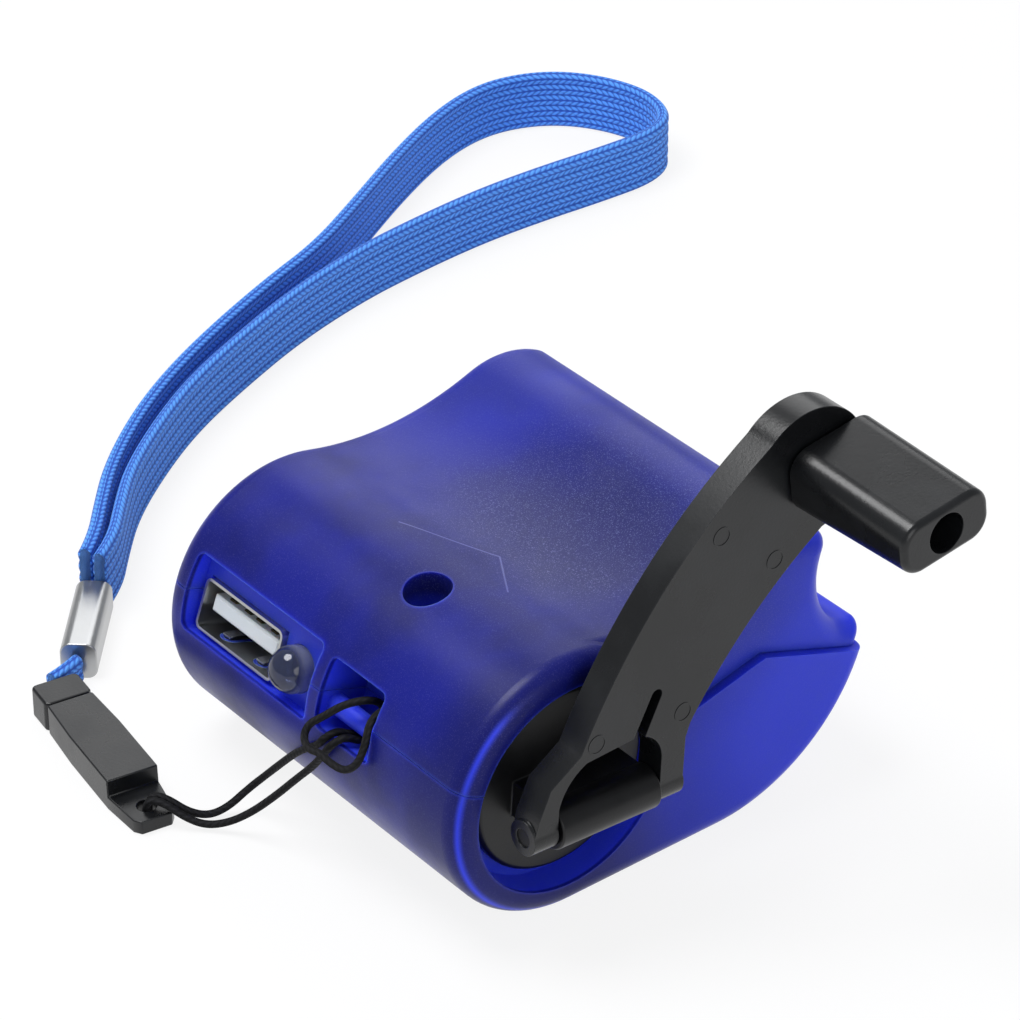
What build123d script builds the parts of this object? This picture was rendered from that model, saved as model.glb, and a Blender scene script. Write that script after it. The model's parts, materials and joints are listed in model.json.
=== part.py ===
"""Hand crank phone charger: a small two-shell dynamo case with a folding crank and a wrist strap.

Millimetres, +Z up. The origin is the middle of the flat underside. +X runs from the socket end
to the notched end, and -Y is the side that carries the crank.
"""
import math
import os

from build123d import *

os.makedirs("parts", exist_ok=True)

# ---------------------------------------------------------------- driving dimensions
# case
body_depth = 48.8           # across, from the crank face to the far face
round_radius = 14.7         # the round socket end, centred on the crank shaft
hump_radius = 10.5          # the hump over the generator
hump_reach = 28.6           # hump centre, from the shaft
hump_rise = 5.7
dip_radius = 34.7           # the shallow dip between the round end and the hump
notch_radius = 9.7          # the cradle that takes the stowed knob
notch_reach = 43.2
notch_rise = 9.7
beak_reach = 39.9           # the beak under the notch
beak_rise = 2.5
flat_reach = 19.4           # where the flat underside ends
wall = 2.0
edge_round = 2.2
shoulder_round = 1.2
beak_round = 0.8
seam_gap = 0.12             # the joint line between the shells
seam_angle = 20.0           # the joint rises this much towards the socket end
side_step = 1.0             # the upper shell's side face lies this much deeper

# hub and crank
recess_radius = 11.8
recess_depth = 3.7
cup_wall = 1.6
disc_radius = 10.4
disc_thickness = 1.5
disc_clearance = 0.3        # between the disc and the floor of its recess
journal_radius = 3.0
shaft_radius = 1.25
bushing_radius = 4.5
bushing_flange_radius = 6.0
bushing_flange = 0.7
running_gap = 0.05
pin_proud = 3.8             # the hinge axis stands this far out of the crank face
pin_tilt = -3.0
pin_radius = 1.0
barrel_radius = 2.4
barrel_length = 12.4
web_thickness = 4.0
fork_gap = 0.2              # between the barrel and each tine of the arm
fork_width = 18.8
eye_radius = 1.9
arm_thickness = 3.4
head_x = 23.0               # arm head, from the hinge
head_z = 30.6
head_radius = 7.2
knob_x = 25.7               # knob axis, from the hinge
knob_z = 31.3
knob_width = 11.0
knob_base_height = 7.2
knob_end_height = 5.8
knob_corner = 2.4
knob_length = 16.0
knob_gap = 0.4
knob_turn = 11.0            # how the knob's long side lies at rest
knob_bore_depth = 9.5
knob_hole_radius = 2.15
stud_radius = 1.5
knob_screw_head = 1.4

# gears
module = 0.5
pressure_angle = 20.0
drive_teeth = 44
idler_teeth = 11
wheel_teeth = 36
pinion_teeth = 10
backlash = 0.12
addendum = 0.32
dedendum = 0.5
idler_angle = -5.0          # where the idler sits, seen from the shaft
motor_angle = 5.0           # where the generator sits, seen from the idler
gear_thickness = 2.2
wheel_thickness = 1.8
layer_gap = 0.4
plate_thickness = 1.2
plate_fit = 0.05            # between the gear plates and the case walls
axle_radius = 0.75
spacer_radius = 1.2
drive_hole_reach = 6.8      # the lightening holes of the two larger wheels
drive_hole_radius = 1.9
wheel_hole_reach = 5.6
wheel_hole_radius = 1.5

# generator
motor_radius = 8.5
motor_length = 14.6
motor_wall = 0.8
motor_boss_radius = 2.0
magnet_thickness = 1.4
rotor_radius = 6.0
rotor_length = 8.0
motor_shaft_radius = 0.75
motor_screw_radius = 0.8
motor_screw_offset = 5.3

# socket, lamp and board
port_floor = 12.4           # the socket recess floor, from the shaft axis
port_height = 8.6
port_width = 21.3
port_inset = 3.1            # the socket recess stops this far from the far face
usb_width = 13.1
usb_height = 5.7
usb_length = 14.0
usb_sheet = 0.3
usb_inset = 7.5             # socket centre, from the far end of its recess
usb_rise = -1.0
usb_mouth = 13.1
tongue_width = 11.1
tongue_thickness = 1.84
contact_width = 1.0
contact_thickness = 0.2
lamp_radius = 2.5
lamp_inset = 4.6            # lamp, from the near end of the recess
lamp_flange = 0.12
lamp_rise = -0.9
lamp_tip = 15.6
lamp_back = 7.0
board_thickness = 1.2
board_front = 9.4
board_back = -8.0
board_width = 20.5
board_inset = 2.8           # from the far face
diode_radius = 1.2
diode_length = 4.2
diode_pitch = 3.5
capacitor_radius = 2.5
capacitor_height = 6.5
regulator_width = 4.0
regulator_height = 1.5
resistor_length = 3.2
resistor_width = 1.6
resistor_height = 0.8
part_spacing = 2.5          # from the board's near edge to the first diode
post_radius = 1.5
post_inset = 2.2
wire_radius = 0.5
wire_rise = 2.2             # the wires come down on the board from this high

# lanyard
eyelet_near = 14.1          # the lanyard recess, behind the crank face
eyelet_width = 8.7
eyelet_floor = 8.6
eyelet_height = 7.8
bar_radius = 1.1
bar_reach = 12.1
bar_rise = -1.5
cord_diameter = 0.8
strap_width = 7.8
strap_thickness = 1.5
buckle_length = 20.6        # the half that the cord is tied to
buckle_width = 5.8
buckle_height = 3.6
buckle_nose_length = 5.6
buckle_nose_height = 1.6
buckle_nose_width = 4.6
buckle_hole_radius = 1.0
buckle_hole_inset = 2.4
buckle_cap_length = 4.0
buckle_gap = 0.2
crimp_length = 12.2
crimp_width = 4.0
crimp_height = 4.4

# fasteners
screw_radius = 1.2
screw_slack = 0.15
screw_head_radius = 2.2
screw_head_height = 1.6
screw_well_radius = 2.5
boss_radius = 3.4
top_ledge = 5.5             # the top screw's head sits here, from the shaft
top_screw_tip = -7.0
low_ledge = -7.5
low_screw_tip = 8.0
slot_width = 0.6            # of the cross slots in the screw heads
slot_depth = 0.8

# ---------------------------------------------------------------- frames
near_y = -body_depth / 2
hub_x = -(beak_reach - round_radius) / 2
hub_z = round_radius
port_cos = math.cos(math.radians(seam_angle))
port_sin = math.sin(math.radians(seam_angle))
pin_cos = math.cos(math.radians(pin_tilt))
pin_sin = math.sin(math.radians(pin_tilt))


def side(depth, turn=0.0, x=0.0, z=0.0):
    """A plane facing the crank, this deep behind the crank face, at a point seen from the shaft."""
    c, s = math.cos(math.radians(turn)), math.sin(math.radians(turn))
    return Plane(origin=(hub_x + x, near_y + depth, hub_z + z), x_dir=(c, 0, s), z_dir=(0, -1, 0))


def port(reach):
    """A plane facing out of the socket end, this far from the shaft axis; its y axis leans up."""
    origin = (hub_x - reach * port_cos, 0, hub_z + reach * port_sin)
    return Plane(origin=origin, x_dir=(0, -1, 0), z_dir=(-port_cos, 0, port_sin))


def shelf(rise):
    """A plane along the socket, this far above its middle, facing down; its y axis points out."""
    origin = (hub_x + rise * port_sin, 0, hub_z + rise * port_cos)
    return Plane(origin=origin, x_dir=(0, -1, 0), z_dir=(-port_sin, 0, -port_cos))


def across(depth):
    """The place across a port or shelf plane of something this deep behind the crank face."""
    return -(near_y + depth)


def hinge(along):
    """A plane square to the crank's hinge pin; its x axis points into the case."""
    origin = (hub_x + along * pin_cos, near_y - pin_proud, hub_z + along * pin_sin)
    return Plane(origin=origin, x_dir=(0, 1, 0), z_dir=(pin_cos, 0, pin_sin))


def level(x, depth, height):
    """A level plane at a point seen from the shaft."""
    return Plane(origin=(hub_x + x, near_y + depth, hub_z + height), z_dir=(0, 0, 1))


def finish(builder, label):
    builder.part.label = label
    export_step(builder.part, f"parts/{label}.step")


def circle_meet(centre_a, radius_a, centre_b, radius_b):
    """Where two circles meet, on the left of the way from a to b."""
    dx, dz = centre_b[0] - centre_a[0], centre_b[1] - centre_a[1]
    span = math.hypot(dx, dz)
    along = (radius_a**2 - radius_b**2 + span**2) / (2 * span)
    off = math.sqrt(radius_a**2 - along**2)
    return (centre_a[0] + (along * dx - off * dz) / span, centre_a[1] + (along * dz + off * dx) / span)


def toward(start, reach, target):
    """The point this far from start on the way to target."""
    share = reach / math.dist(start, target)
    return (start[0] + (target[0] - start[0]) * share, start[1] + (target[1] - start[1]) * share)


# ---------------------------------------------------------------- case outline, seen from the crank side
shaft = (0.0, 0.0)
hump = (hump_reach, hump_rise)
notch = (notch_reach, notch_rise)
dip = circle_meet(shaft, round_radius + dip_radius, hump, hump_radius + dip_radius)
dip_start = toward(shaft, round_radius, dip)
dip_end = toward(hump, hump_radius, dip)
shoulder = circle_meet(hump, hump_radius, notch, notch_radius)
half = math.sqrt(0.5)
notch_end = (notch_reach - notch_radius * half, notch_rise - notch_radius * half)
beak = (beak_reach, beak_rise)
beak_height = beak_rise + round_radius
belly_radius = ((beak_reach - flat_reach) ** 2 + beak_height**2) / (2 * beak_height)
belly_turn = math.atan2(beak_reach - flat_reach, belly_radius - beak_height) / 2
belly_middle = (
    flat_reach + belly_radius * math.sin(belly_turn),
    belly_radius * (1 - math.cos(belly_turn)) - round_radius,
)


def draw_case():
    """The closed outline of the case; used inside a BuildLine."""
    ThreePointArc((0, -round_radius), (-round_radius, 0), dip_start)
    ThreePointArc(dip_start, (dip[0], dip[1] - dip_radius), dip_end)
    ThreePointArc(dip_end, (hump_reach, hump_rise + hump_radius), shoulder)
    ThreePointArc(shoulder, (notch_reach - notch_radius, notch_rise), notch_end)
    TangentArc(notch_end, beak, tangent=(1, -1))
    ThreePointArc(beak, belly_middle, (flat_reach, -round_radius))
    Line((flat_reach, -round_radius), (0, -round_radius))


seam_knees = [(0, 0), (recess_radius, 1.4), (16.3, 2.5), (24.9, 4.6), (37.4, 0.0)]
beyond = 60.0               # past every side of the case


def seam_points(drop=0.0):
    """The joint between the shells, from beyond the socket end to beyond the beak."""
    start = (-beyond, beyond * math.tan(math.radians(seam_angle)))
    return [(x, z - drop) for x, z in [start, *seam_knees, (beyond, -7.0)]]


def seam_height(x):
    points = seam_points()
    for (x0, z0), (x1, z1) in zip(points, points[1:]):
        if x0 <= x <= x1:
            return z0 + (z1 - z0) * (x - x0) / (x1 - x0)


# ---------------------------------------------------------------- places that the inner parts share
cup_back = recess_depth + cup_wall
disc_back = recess_depth - disc_clearance
disc_front = disc_back - disc_thickness
plate_front = cup_back + bushing_flange             # the front gear plate
gear_front = plate_front + plate_thickness + layer_gap
wheel_front = gear_front + gear_thickness + layer_gap
back_plate_front = wheel_front + wheel_thickness + 2 * layer_gap
motor_front = back_plate_front + plate_thickness
motor_back = motor_front + motor_length
idler_span = module * (drive_teeth + idler_teeth) / 2
motor_span = module * (wheel_teeth + pinion_teeth) / 2
idler = (
    idler_span * math.cos(math.radians(idler_angle)),
    idler_span * math.sin(math.radians(idler_angle)),
)
motor = (
    idler[0] + motor_span * math.cos(math.radians(motor_angle)),
    idler[1] + motor_span * math.sin(math.radians(motor_angle)),
)
plate_left = -4.5
plate_right = motor[0] + 7.0
port_far = body_depth - port_inset
port_near = port_far - port_width
usb_depth = port_far - usb_inset
lamp_depth = port_near + lamp_inset
board_far = body_depth - board_inset
board_near = board_far - board_width
eyelet_far = eyelet_near + eyelet_width
spacer_spots = [(10.5, 9.4), (9.0, -10.9), (28.0, 8.6), (20.5, -10.9)]
top_screw = (-2.8, 19.4)                            # x from the shaft, depth behind the crank face
low_screws = [(12.0, body_depth - 6.8), (26.0, body_depth - 8.8)]
board_top = usb_rise - usb_height / 2
board_bottom = board_top - board_thickness


# ---------------------------------------------------------------- case blanks
def case_form(front):
    """The outer form of the case, from this depth back."""
    with BuildPart() as form:
        with BuildSketch(side(body_depth)):
            with BuildLine():
                draw_case()
            make_face()
        extrude(amount=body_depth - front)
        for corner, radius in ((shoulder, shoulder_round), (beak, beak_round)):
            spot = (hub_x + corner[0], 0, hub_z + corner[1])
            fillet(form.edges().filter_by(Axis.Y).sort_by_distance(spot)[0], radius)
        ends = form.faces().sort_by(Axis.Y)
        fillet(ends[0].edges() + ends[-1].edges(), edge_round)
    return form.part


case_block = case_form(0.0)
stepped_block = case_form(side_step)                # the same, with its side face further back

with BuildPart() as case_hollow:                    # the space inside the walls
    with BuildSketch(side(body_depth - wall)):
        with BuildLine():
            draw_case()
        make_face()
        offset(amount=-wall, mode=Mode.REPLACE)
    extrude(amount=body_depth - 2 * wall)

with BuildPart() as case_core:                      # out to the middle of the walls
    with BuildSketch(side(body_depth - wall / 2)):
        with BuildLine():
            draw_case()
        make_face()
        offset(amount=-wall / 2, mode=Mode.REPLACE)
    extrude(amount=body_depth - wall)

with BuildPart() as above_seam:
    with BuildSketch(side(body_depth + beyond)):
        with BuildLine():
            Polyline(*seam_points(), (beyond, beyond), (-beyond, beyond), close=True)
        make_face()
    extrude(amount=body_depth + 2 * beyond)

with BuildPart() as below_seam:
    with BuildSketch(side(body_depth + beyond)):
        with BuildLine():
            Polyline(*seam_points(seam_gap), (beyond, -beyond), (-beyond, -beyond), close=True)
        make_face()
    extrude(amount=body_depth + 2 * beyond)

# ---------------------------------------------------------------- the shells
post_reaches = [board_front - 3.0, board_back + 2.4]
post_depths = [board_near + post_inset, board_far - post_inset]
post_spots = [(depth, reach) for depth in post_depths for reach in post_reaches]
rib_depth = motor_front + 8.0
rib_thickness = 1.2
socket_backing = 2.4
lip = 1.2                                           # the recess backings reach this far past the recess
port_middle = across((port_near + port_far) / 2)
eyelet_middle = across((eyelet_near + eyelet_far) / 2)
bar_spot = (bar_rise * port_sin - bar_reach * port_cos, bar_reach * port_sin + bar_rise * port_cos)

with BuildPart() as inside_forms:                   # bosses, ribs and backings, cut at mid wall
    with BuildSketch(side(rib_depth + rib_thickness)):      # the rib that cradles the generator
        with Locations((motor[0], 0)):
            Rectangle(2 * motor_radius + 8, beyond)
        with Locations(motor):
            Circle(motor_radius + plate_fit, mode=Mode.SUBTRACT)
    extrude(amount=rib_thickness)
    with BuildSketch(side(cup_back)):                       # the cup round the crank recess
        Circle(recess_radius + cup_wall)
    extrude(amount=cup_back - wall / 2)
    with BuildSketch(port(port_floor - socket_backing)):    # backing of the socket recess
        with Locations((port_middle, 0)):
            Rectangle(port_far - port_near + 2 * lip, port_height + 2 * lip)
    extrude(amount=socket_backing + 1)
    with BuildSketch(port(eyelet_floor - cup_wall)):        # backing of the lanyard recess
        with Locations((eyelet_middle, 0)):
            Rectangle(eyelet_far - eyelet_near + 2 * cup_wall, eyelet_height + 2 * lip)
    extrude(amount=port_floor + 1 - eyelet_floor + cup_wall)
    for spot_x, spot_depth in [top_screw, *low_screws]:     # screw bosses
        with BuildSketch(level(spot_x, spot_depth, -round_radius)):
            Circle(boss_radius)
        extrude(amount=2 * beyond)
    for spot_depth, spot_reach in post_spots:               # posts under the board
        with BuildSketch(shelf(board_bottom)):
            with Locations((across(spot_depth), spot_reach)):
                Circle(post_radius)
        extrude(amount=round_radius)
    add(case_core.part, mode=Mode.INTERSECT)

with BuildPart() as shell_block:                    # both shells as one, before they are parted
    add(case_block)
    add(case_hollow.part, mode=Mode.SUBTRACT)
    add(inside_forms.part)
    with BuildSketch(side(-1)):                             # crank recess
        Circle(recess_radius)
    extrude(amount=-(recess_depth + 1), mode=Mode.SUBTRACT)
    with BuildSketch(side(-1)):                             # seat of the bushing
        Circle(bushing_radius)
    extrude(amount=-(cup_back + 2), mode=Mode.SUBTRACT)
    with BuildSketch(port(eyelet_floor)):                   # lanyard recess
        with Locations((eyelet_middle, 0)):
            RectangleRounded(eyelet_far - eyelet_near, eyelet_height, 0.8)
    extrude(amount=round_radius, mode=Mode.SUBTRACT)
    with BuildSketch(side(eyelet_far + cup_wall / 2)):      # the bar that holds the lanyard
        with Locations(bar_spot):
            Circle(bar_radius)
    extrude(amount=eyelet_far - eyelet_near + cup_wall)
    with BuildSketch(port(port_floor)):                     # socket recess
        with Locations((port_middle, 0)):
            RectangleRounded(port_far - port_near, port_height, 0.8)
    extrude(amount=round_radius, mode=Mode.SUBTRACT)
    with BuildSketch(port(port_floor - socket_backing - 1)):    # windows for the socket and the lamp
        with Locations((across(usb_depth), usb_rise)):
            Rectangle(usb_width + 2 * plate_fit, usb_height + 2 * plate_fit)
        with Locations((across(lamp_depth), lamp_rise)):
            Circle(lamp_radius + running_gap)
    extrude(amount=round_radius, mode=Mode.SUBTRACT)
    with BuildSketch(level(*top_screw, top_ledge)):         # wells for the screw heads
        Circle(screw_well_radius)
    extrude(amount=beyond, mode=Mode.SUBTRACT)
    for spot_x, spot_depth in low_screws:
        with BuildSketch(level(spot_x, spot_depth, low_ledge)):
            Circle(screw_well_radius)
        extrude(amount=-beyond, mode=Mode.SUBTRACT)

with BuildPart() as side_cut:                       # what the step takes off the upper shell
    with BuildSketch(side(side_step + edge_round)):
        with BuildLine():
            Polyline(*seam_points(seam_gap)[1:], (beyond, beyond), (0, beyond), close=True)
        make_face()
        Circle(round_radius, mode=Mode.SUBTRACT)
    extrude(amount=beyond)
    add(stepped_block, mode=Mode.SUBTRACT)

with BuildPart() as upper_shell:
    add(shell_block.part)
    add(above_seam.part, mode=Mode.INTERSECT)
    add(side_cut.part, mode=Mode.SUBTRACT)
    with BuildSketch(level(*top_screw, 0)):                 # the top screw passes through
        Circle(screw_radius + screw_slack)
    extrude(amount=top_ledge + 1, mode=Mode.SUBTRACT)
    for spot_x, spot_depth in low_screws:                   # the lower screws bite here
        with BuildSketch(level(spot_x, spot_depth, seam_height(spot_x) - 1)):
            Circle(screw_radius)
        extrude(amount=low_screw_tip - seam_height(spot_x) + 1.3, mode=Mode.SUBTRACT)
finish(upper_shell, "upper_shell")

with BuildPart() as lower_shell:
    add(shell_block.part)
    add(below_seam.part, mode=Mode.INTERSECT)
    with BuildSketch(level(*top_screw, top_screw_tip - 0.3)):       # the top screw bites here
        Circle(screw_radius)
    extrude(amount=beyond, mode=Mode.SUBTRACT)
    for spot_x, spot_depth in low_screws:                   # the lower screws pass through
        with BuildSketch(level(spot_x, spot_depth, low_ledge - 1)):
            Circle(screw_radius + screw_slack)
        extrude(amount=beyond, mode=Mode.SUBTRACT)
finish(lower_shell, "lower_shell")

with BuildPart() as shell_screws:
    screw_seats = [(*top_screw, top_ledge, top_screw_tip)]
    screw_seats += [(*spot, low_ledge, low_screw_tip) for spot in low_screws]
    for spot_x, spot_depth, seat, tip in screw_seats:
        up = 1 if seat > tip else -1
        with BuildSketch(level(spot_x, spot_depth, tip)):
            Circle(screw_radius)
        extrude(amount=seat - tip)
        with BuildSketch(level(spot_x, spot_depth, seat)):
            Circle(screw_head_radius)
        extrude(amount=up * screw_head_height)
        with BuildSketch(level(spot_x, spot_depth, seat + up * screw_head_height)):
            Rectangle(screw_head_radius + 0.4, slot_width)
            Rectangle(slot_width, screw_head_radius + 0.4)
        extrude(amount=-up * slot_depth, mode=Mode.SUBTRACT)
finish(shell_screws, "shell_screws")

# ---------------------------------------------------------------- crank
with BuildPart() as hub_bushing:
    with BuildSketch(side(recess_depth)):
        Circle(bushing_radius)
    extrude(amount=-(plate_front - recess_depth))
    with BuildSketch(side(cup_back)):
        Circle(bushing_flange_radius)
    extrude(amount=-bushing_flange)
    with BuildSketch(side(0)):
        Circle(journal_radius + running_gap)
    extrude(amount=-beyond, mode=Mode.SUBTRACT)
finish(hub_bushing, "hub_bushing")

shaft_front = disc_front + disc_thickness / 2
with BuildPart() as crank_hub:
    with BuildSketch(side(disc_front)):
        Circle(disc_radius)
    extrude(amount=-disc_thickness)
    chamfer(crank_hub.edges().sort_by(Axis.Y)[0], 0.4)
    with BuildSketch(side(disc_back)):
        Circle(journal_radius)
    extrude(amount=-(gear_front - disc_back))
    with BuildSketch(side(-pin_proud, pin_tilt)):           # the web between the disc and the barrel
        Rectangle(barrel_length, web_thickness)
    extrude(amount=-(pin_proud + shaft_front))
    with BuildSketch(hinge(-barrel_length / 2)):
        Circle(barrel_radius)
    extrude(amount=barrel_length)
    with BuildSketch(hinge(-barrel_length)):                # bore for the hinge pin
        Circle(pin_radius + running_gap)
    extrude(amount=2 * barrel_length, mode=Mode.SUBTRACT)
    with BuildSketch(side(shaft_front)):                    # bore for the shaft
        Circle(shaft_radius)
    extrude(amount=-beyond, mode=Mode.SUBTRACT)
finish(crank_hub, "crank_hub")

clip_front = motor_front + 2 * running_gap
clip_thickness = 0.8
with BuildPart() as crank_shaft:
    with BuildSketch(side(shaft_front)):
        Circle(shaft_radius)
    extrude(amount=-(clip_front + clip_thickness + 0.6 - shaft_front))
finish(crank_shaft, "crank_shaft")

with BuildPart() as shaft_clip:
    with BuildSketch(side(clip_front)):
        Circle(shaft_radius + 1.1)
        Circle(shaft_radius, mode=Mode.SUBTRACT)
        with Locations((0, -shaft_radius - 1.2)):
            Rectangle(1.2, 2.6, mode=Mode.SUBTRACT)
    extrude(amount=-clip_thickness)
finish(shaft_clip, "shaft_clip")

with BuildPart() as hinge_pin:
    with BuildSketch(hinge(-fork_width / 2 + 0.2)):
        Circle(pin_radius)
    extrude(amount=fork_width - 0.4)
finish(hinge_pin, "hinge_pin")

fork_inner = barrel_length / 2 + fork_gap
fork_outer = fork_width / 2
arm_front = -pin_proud - arm_thickness / 2
knob_base = arm_front - knob_gap
knob_end = knob_base - knob_length
stud_end = knob_end + knob_bore_depth - 2 * running_gap


def on_head(angle):
    """A point on the round of the arm's head, at this angle from level."""
    a = math.radians(angle)
    return (head_x + head_radius * math.cos(a), head_z + head_radius * math.sin(a))


# the arm's outline as measured, seen from its hinge
inner_shoulder = [(-8.9, 2.4), (-7.6, 5.7), (-5.4, 7.3), (-4.0, 8.3)]
inner_bow = (4.9, 23.3)
outer_bow = (17.0, 16.4)
outer_shoulder = (9.9, 6.9)
head_start, head_middle, head_end = on_head(138), on_head(34), on_head(-71)

with BuildPart() as crank_arm:
    with BuildSketch(side(arm_front, pin_tilt)):
        with BuildLine():
            Polyline((fork_outer, 0), (-fork_outer, 0), *inner_shoulder)
            ThreePointArc(inner_shoulder[-1], inner_bow, head_start)
            ThreePointArc(head_start, head_middle, head_end)
            ThreePointArc(head_end, outer_bow, outer_shoulder)
            Polyline(outer_shoulder, (fork_outer, 5.3), (fork_outer, 0))
        make_face()
        with BuildLine():                                   # the opening between the tines
            Line((-fork_inner, -1), (-fork_inner, 3.0))
            ThreePointArc((-fork_inner, 3.0), (-5.2, 5.6), (-3.2, 7.2))
            Line((-3.2, 7.2), (2.4, 7.7))
            ThreePointArc((2.4, 7.7), (5.3, 6.6), (fork_inner, 4.2))
            Line((fork_inner, 4.2), (fork_inner, -1))
            Line((fork_inner, -1), (-fork_inner, -1))
        make_face(mode=Mode.SUBTRACT)
        with BuildLine():                                   # the slot above it
            Polyline((2.3, 7.0), (4.6, 12.1), (5.8, 11.5), (3.9, 7.0), close=True)
        make_face(mode=Mode.SUBTRACT)
        with Locations((5.2, 11.8)):
            Circle(0.67, mode=Mode.SUBTRACT)
    extrude(amount=-arm_thickness)
    for start in (-fork_outer, fork_inner):                 # the eyes at the ends of the tines
        with BuildSketch(hinge(start)):
            Circle(eye_radius)
        extrude(amount=fork_outer - fork_inner)
    with BuildSketch(hinge(-fork_outer - 1)):
        Circle(pin_radius)
    extrude(amount=fork_width + 2, mode=Mode.SUBTRACT)
    with BuildSketch(side(arm_front, pin_tilt)):            # the stud that the knob turns on
        with Locations((knob_x, knob_z)):
            Circle(stud_radius)
    extrude(amount=arm_front - stud_end)
    with BuildSketch(side(stud_end, pin_tilt)):
        with Locations((knob_x, knob_z)):
            Circle(motor_screw_radius)
    extrude(amount=-5.0, mode=Mode.SUBTRACT)
finish(crank_arm, "crank_arm")

with BuildPart() as knob_screw:
    with BuildSketch(side(stud_end, pin_tilt)):
        with Locations((knob_x, knob_z)):
            Circle(motor_screw_radius)
    extrude(amount=-4.8)
    with BuildSketch(side(stud_end, pin_tilt)):
        with Locations((knob_x, knob_z)):
            Circle(knob_hole_radius - 0.15)
    extrude(amount=knob_screw_head)
    with BuildSketch(side(stud_end - knob_screw_head, pin_tilt)):
        with Locations((knob_x, knob_z)):
            Rectangle(knob_hole_radius + 0.25, slot_width)
            Rectangle(slot_width, knob_hole_radius + 0.25)
    extrude(amount=-slot_depth, mode=Mode.SUBTRACT)
finish(knob_screw, "knob_screw")

knob_spot = (knob_x * pin_cos - knob_z * pin_sin, knob_x * pin_sin + knob_z * pin_cos)


def knob_plane(depth):
    """A plane square to the knob's axis, on it, turned with the knob."""
    return side(depth, pin_tilt + knob_turn, *knob_spot)


with BuildPart() as crank_knob:
    with BuildSketch(knob_plane(knob_base)):
        RectangleRounded(knob_width, knob_base_height, knob_corner)
    with BuildSketch(knob_plane(knob_end)):
        RectangleRounded(knob_width, knob_end_height, knob_corner)
    loft()
    fillet(crank_knob.faces().sort_by(Axis.Y)[0].edges(), 0.7)
    with BuildSketch(knob_plane(knob_base)):
        Circle(stud_radius + running_gap)
    extrude(amount=knob_length, mode=Mode.SUBTRACT)
    with BuildSketch(knob_plane(knob_end)):
        Circle(knob_hole_radius)
    extrude(amount=-knob_bore_depth, mode=Mode.SUBTRACT)
finish(crank_knob, "crank_knob")


# ---------------------------------------------------------------- gear train
def draw_gear(teeth, first_tooth):
    """A toothed outline about the origin, with a tooth at this angle; used inside a BuildLine."""
    pitch = module * teeth / 2
    base = pitch * math.cos(math.radians(pressure_angle))
    tip = pitch + addendum
    root = pitch - dedendum

    def involute(reach):
        angle = math.acos(min(1.0, base / reach))
        return math.tan(angle) - angle

    def half_tooth(reach):
        """Half the tooth's angle at this distance; it narrows inside the base circle."""
        width = math.pi / (2 * teeth) - backlash / (4 * pitch) + involute(pitch)
        return (width - involute(max(reach, base))) * min(1.0, reach / base)

    def place(reach, angle):
        return (reach * math.cos(angle), reach * math.sin(angle))

    step = 2 * math.pi / teeth
    low, centre, high = half_tooth(root), half_tooth(pitch), half_tooth(tip)
    for number in range(teeth):
        middle = math.radians(first_tooth) + number * step
        foot = place(root, middle + low)
        ThreePointArc(place(root, middle - low), place(pitch, middle - centre), place(tip, middle - high))
        ThreePointArc(place(tip, middle - high), place(tip, middle), place(tip, middle + high))
        ThreePointArc(place(tip, middle + high), place(pitch, middle + centre), foot)
        ThreePointArc(foot, place(root, middle + step / 2), place(root, middle + step - low))


with BuildPart() as drive_gear:
    with BuildSketch(side(gear_front)):
        with BuildLine():
            draw_gear(drive_teeth, idler_angle)
        make_face()
        with PolarLocations(drive_hole_reach, 5):
            Circle(drive_hole_radius, mode=Mode.SUBTRACT)
        Circle(shaft_radius, mode=Mode.SUBTRACT)
    extrude(amount=-gear_thickness)
finish(drive_gear, "drive_gear")

with BuildPart() as idler_gear:
    with BuildSketch(side(gear_front, 0, *idler)):
        with BuildLine():
            draw_gear(idler_teeth, idler_angle + 180 + 180 / idler_teeth)
        make_face()
    extrude(amount=-(wheel_front - gear_front))
    with BuildSketch(side(wheel_front, 0, *idler)):
        with BuildLine():
            draw_gear(wheel_teeth, motor_angle)
        make_face()
        with PolarLocations(wheel_hole_reach, 5):
            Circle(wheel_hole_radius, mode=Mode.SUBTRACT)
    extrude(amount=-wheel_thickness)
    with BuildSketch(side(gear_front - 1, 0, *idler)):
        Circle(axle_radius + running_gap)
    extrude(amount=-beyond, mode=Mode.SUBTRACT)
finish(idler_gear, "idler_gear")

with BuildPart() as idler_axle:
    with BuildSketch(side(plate_front, 0, *idler)):
        Circle(axle_radius)
    extrude(amount=-(motor_front - plate_front))
finish(idler_axle, "idler_axle")


with BuildSketch() as plate_outline:                # a gear plate, close inside the walls
    with BuildLine():
        draw_case()
    make_face()
    offset(amount=-(wall + plate_fit), mode=Mode.REPLACE)
    with Locations(((plate_left + plate_right) / 2, 0)):
        Rectangle(plate_right - plate_left, beyond, mode=Mode.INTERSECT)
    with Locations(idler):
        Circle(axle_radius, mode=Mode.SUBTRACT)


with BuildPart() as front_gear_plate:
    with BuildSketch(side(plate_front)):
        add(plate_outline.sketch)
        Circle(journal_radius + 6 * running_gap, mode=Mode.SUBTRACT)
    extrude(amount=-plate_thickness)
finish(front_gear_plate, "front_gear_plate")

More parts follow.
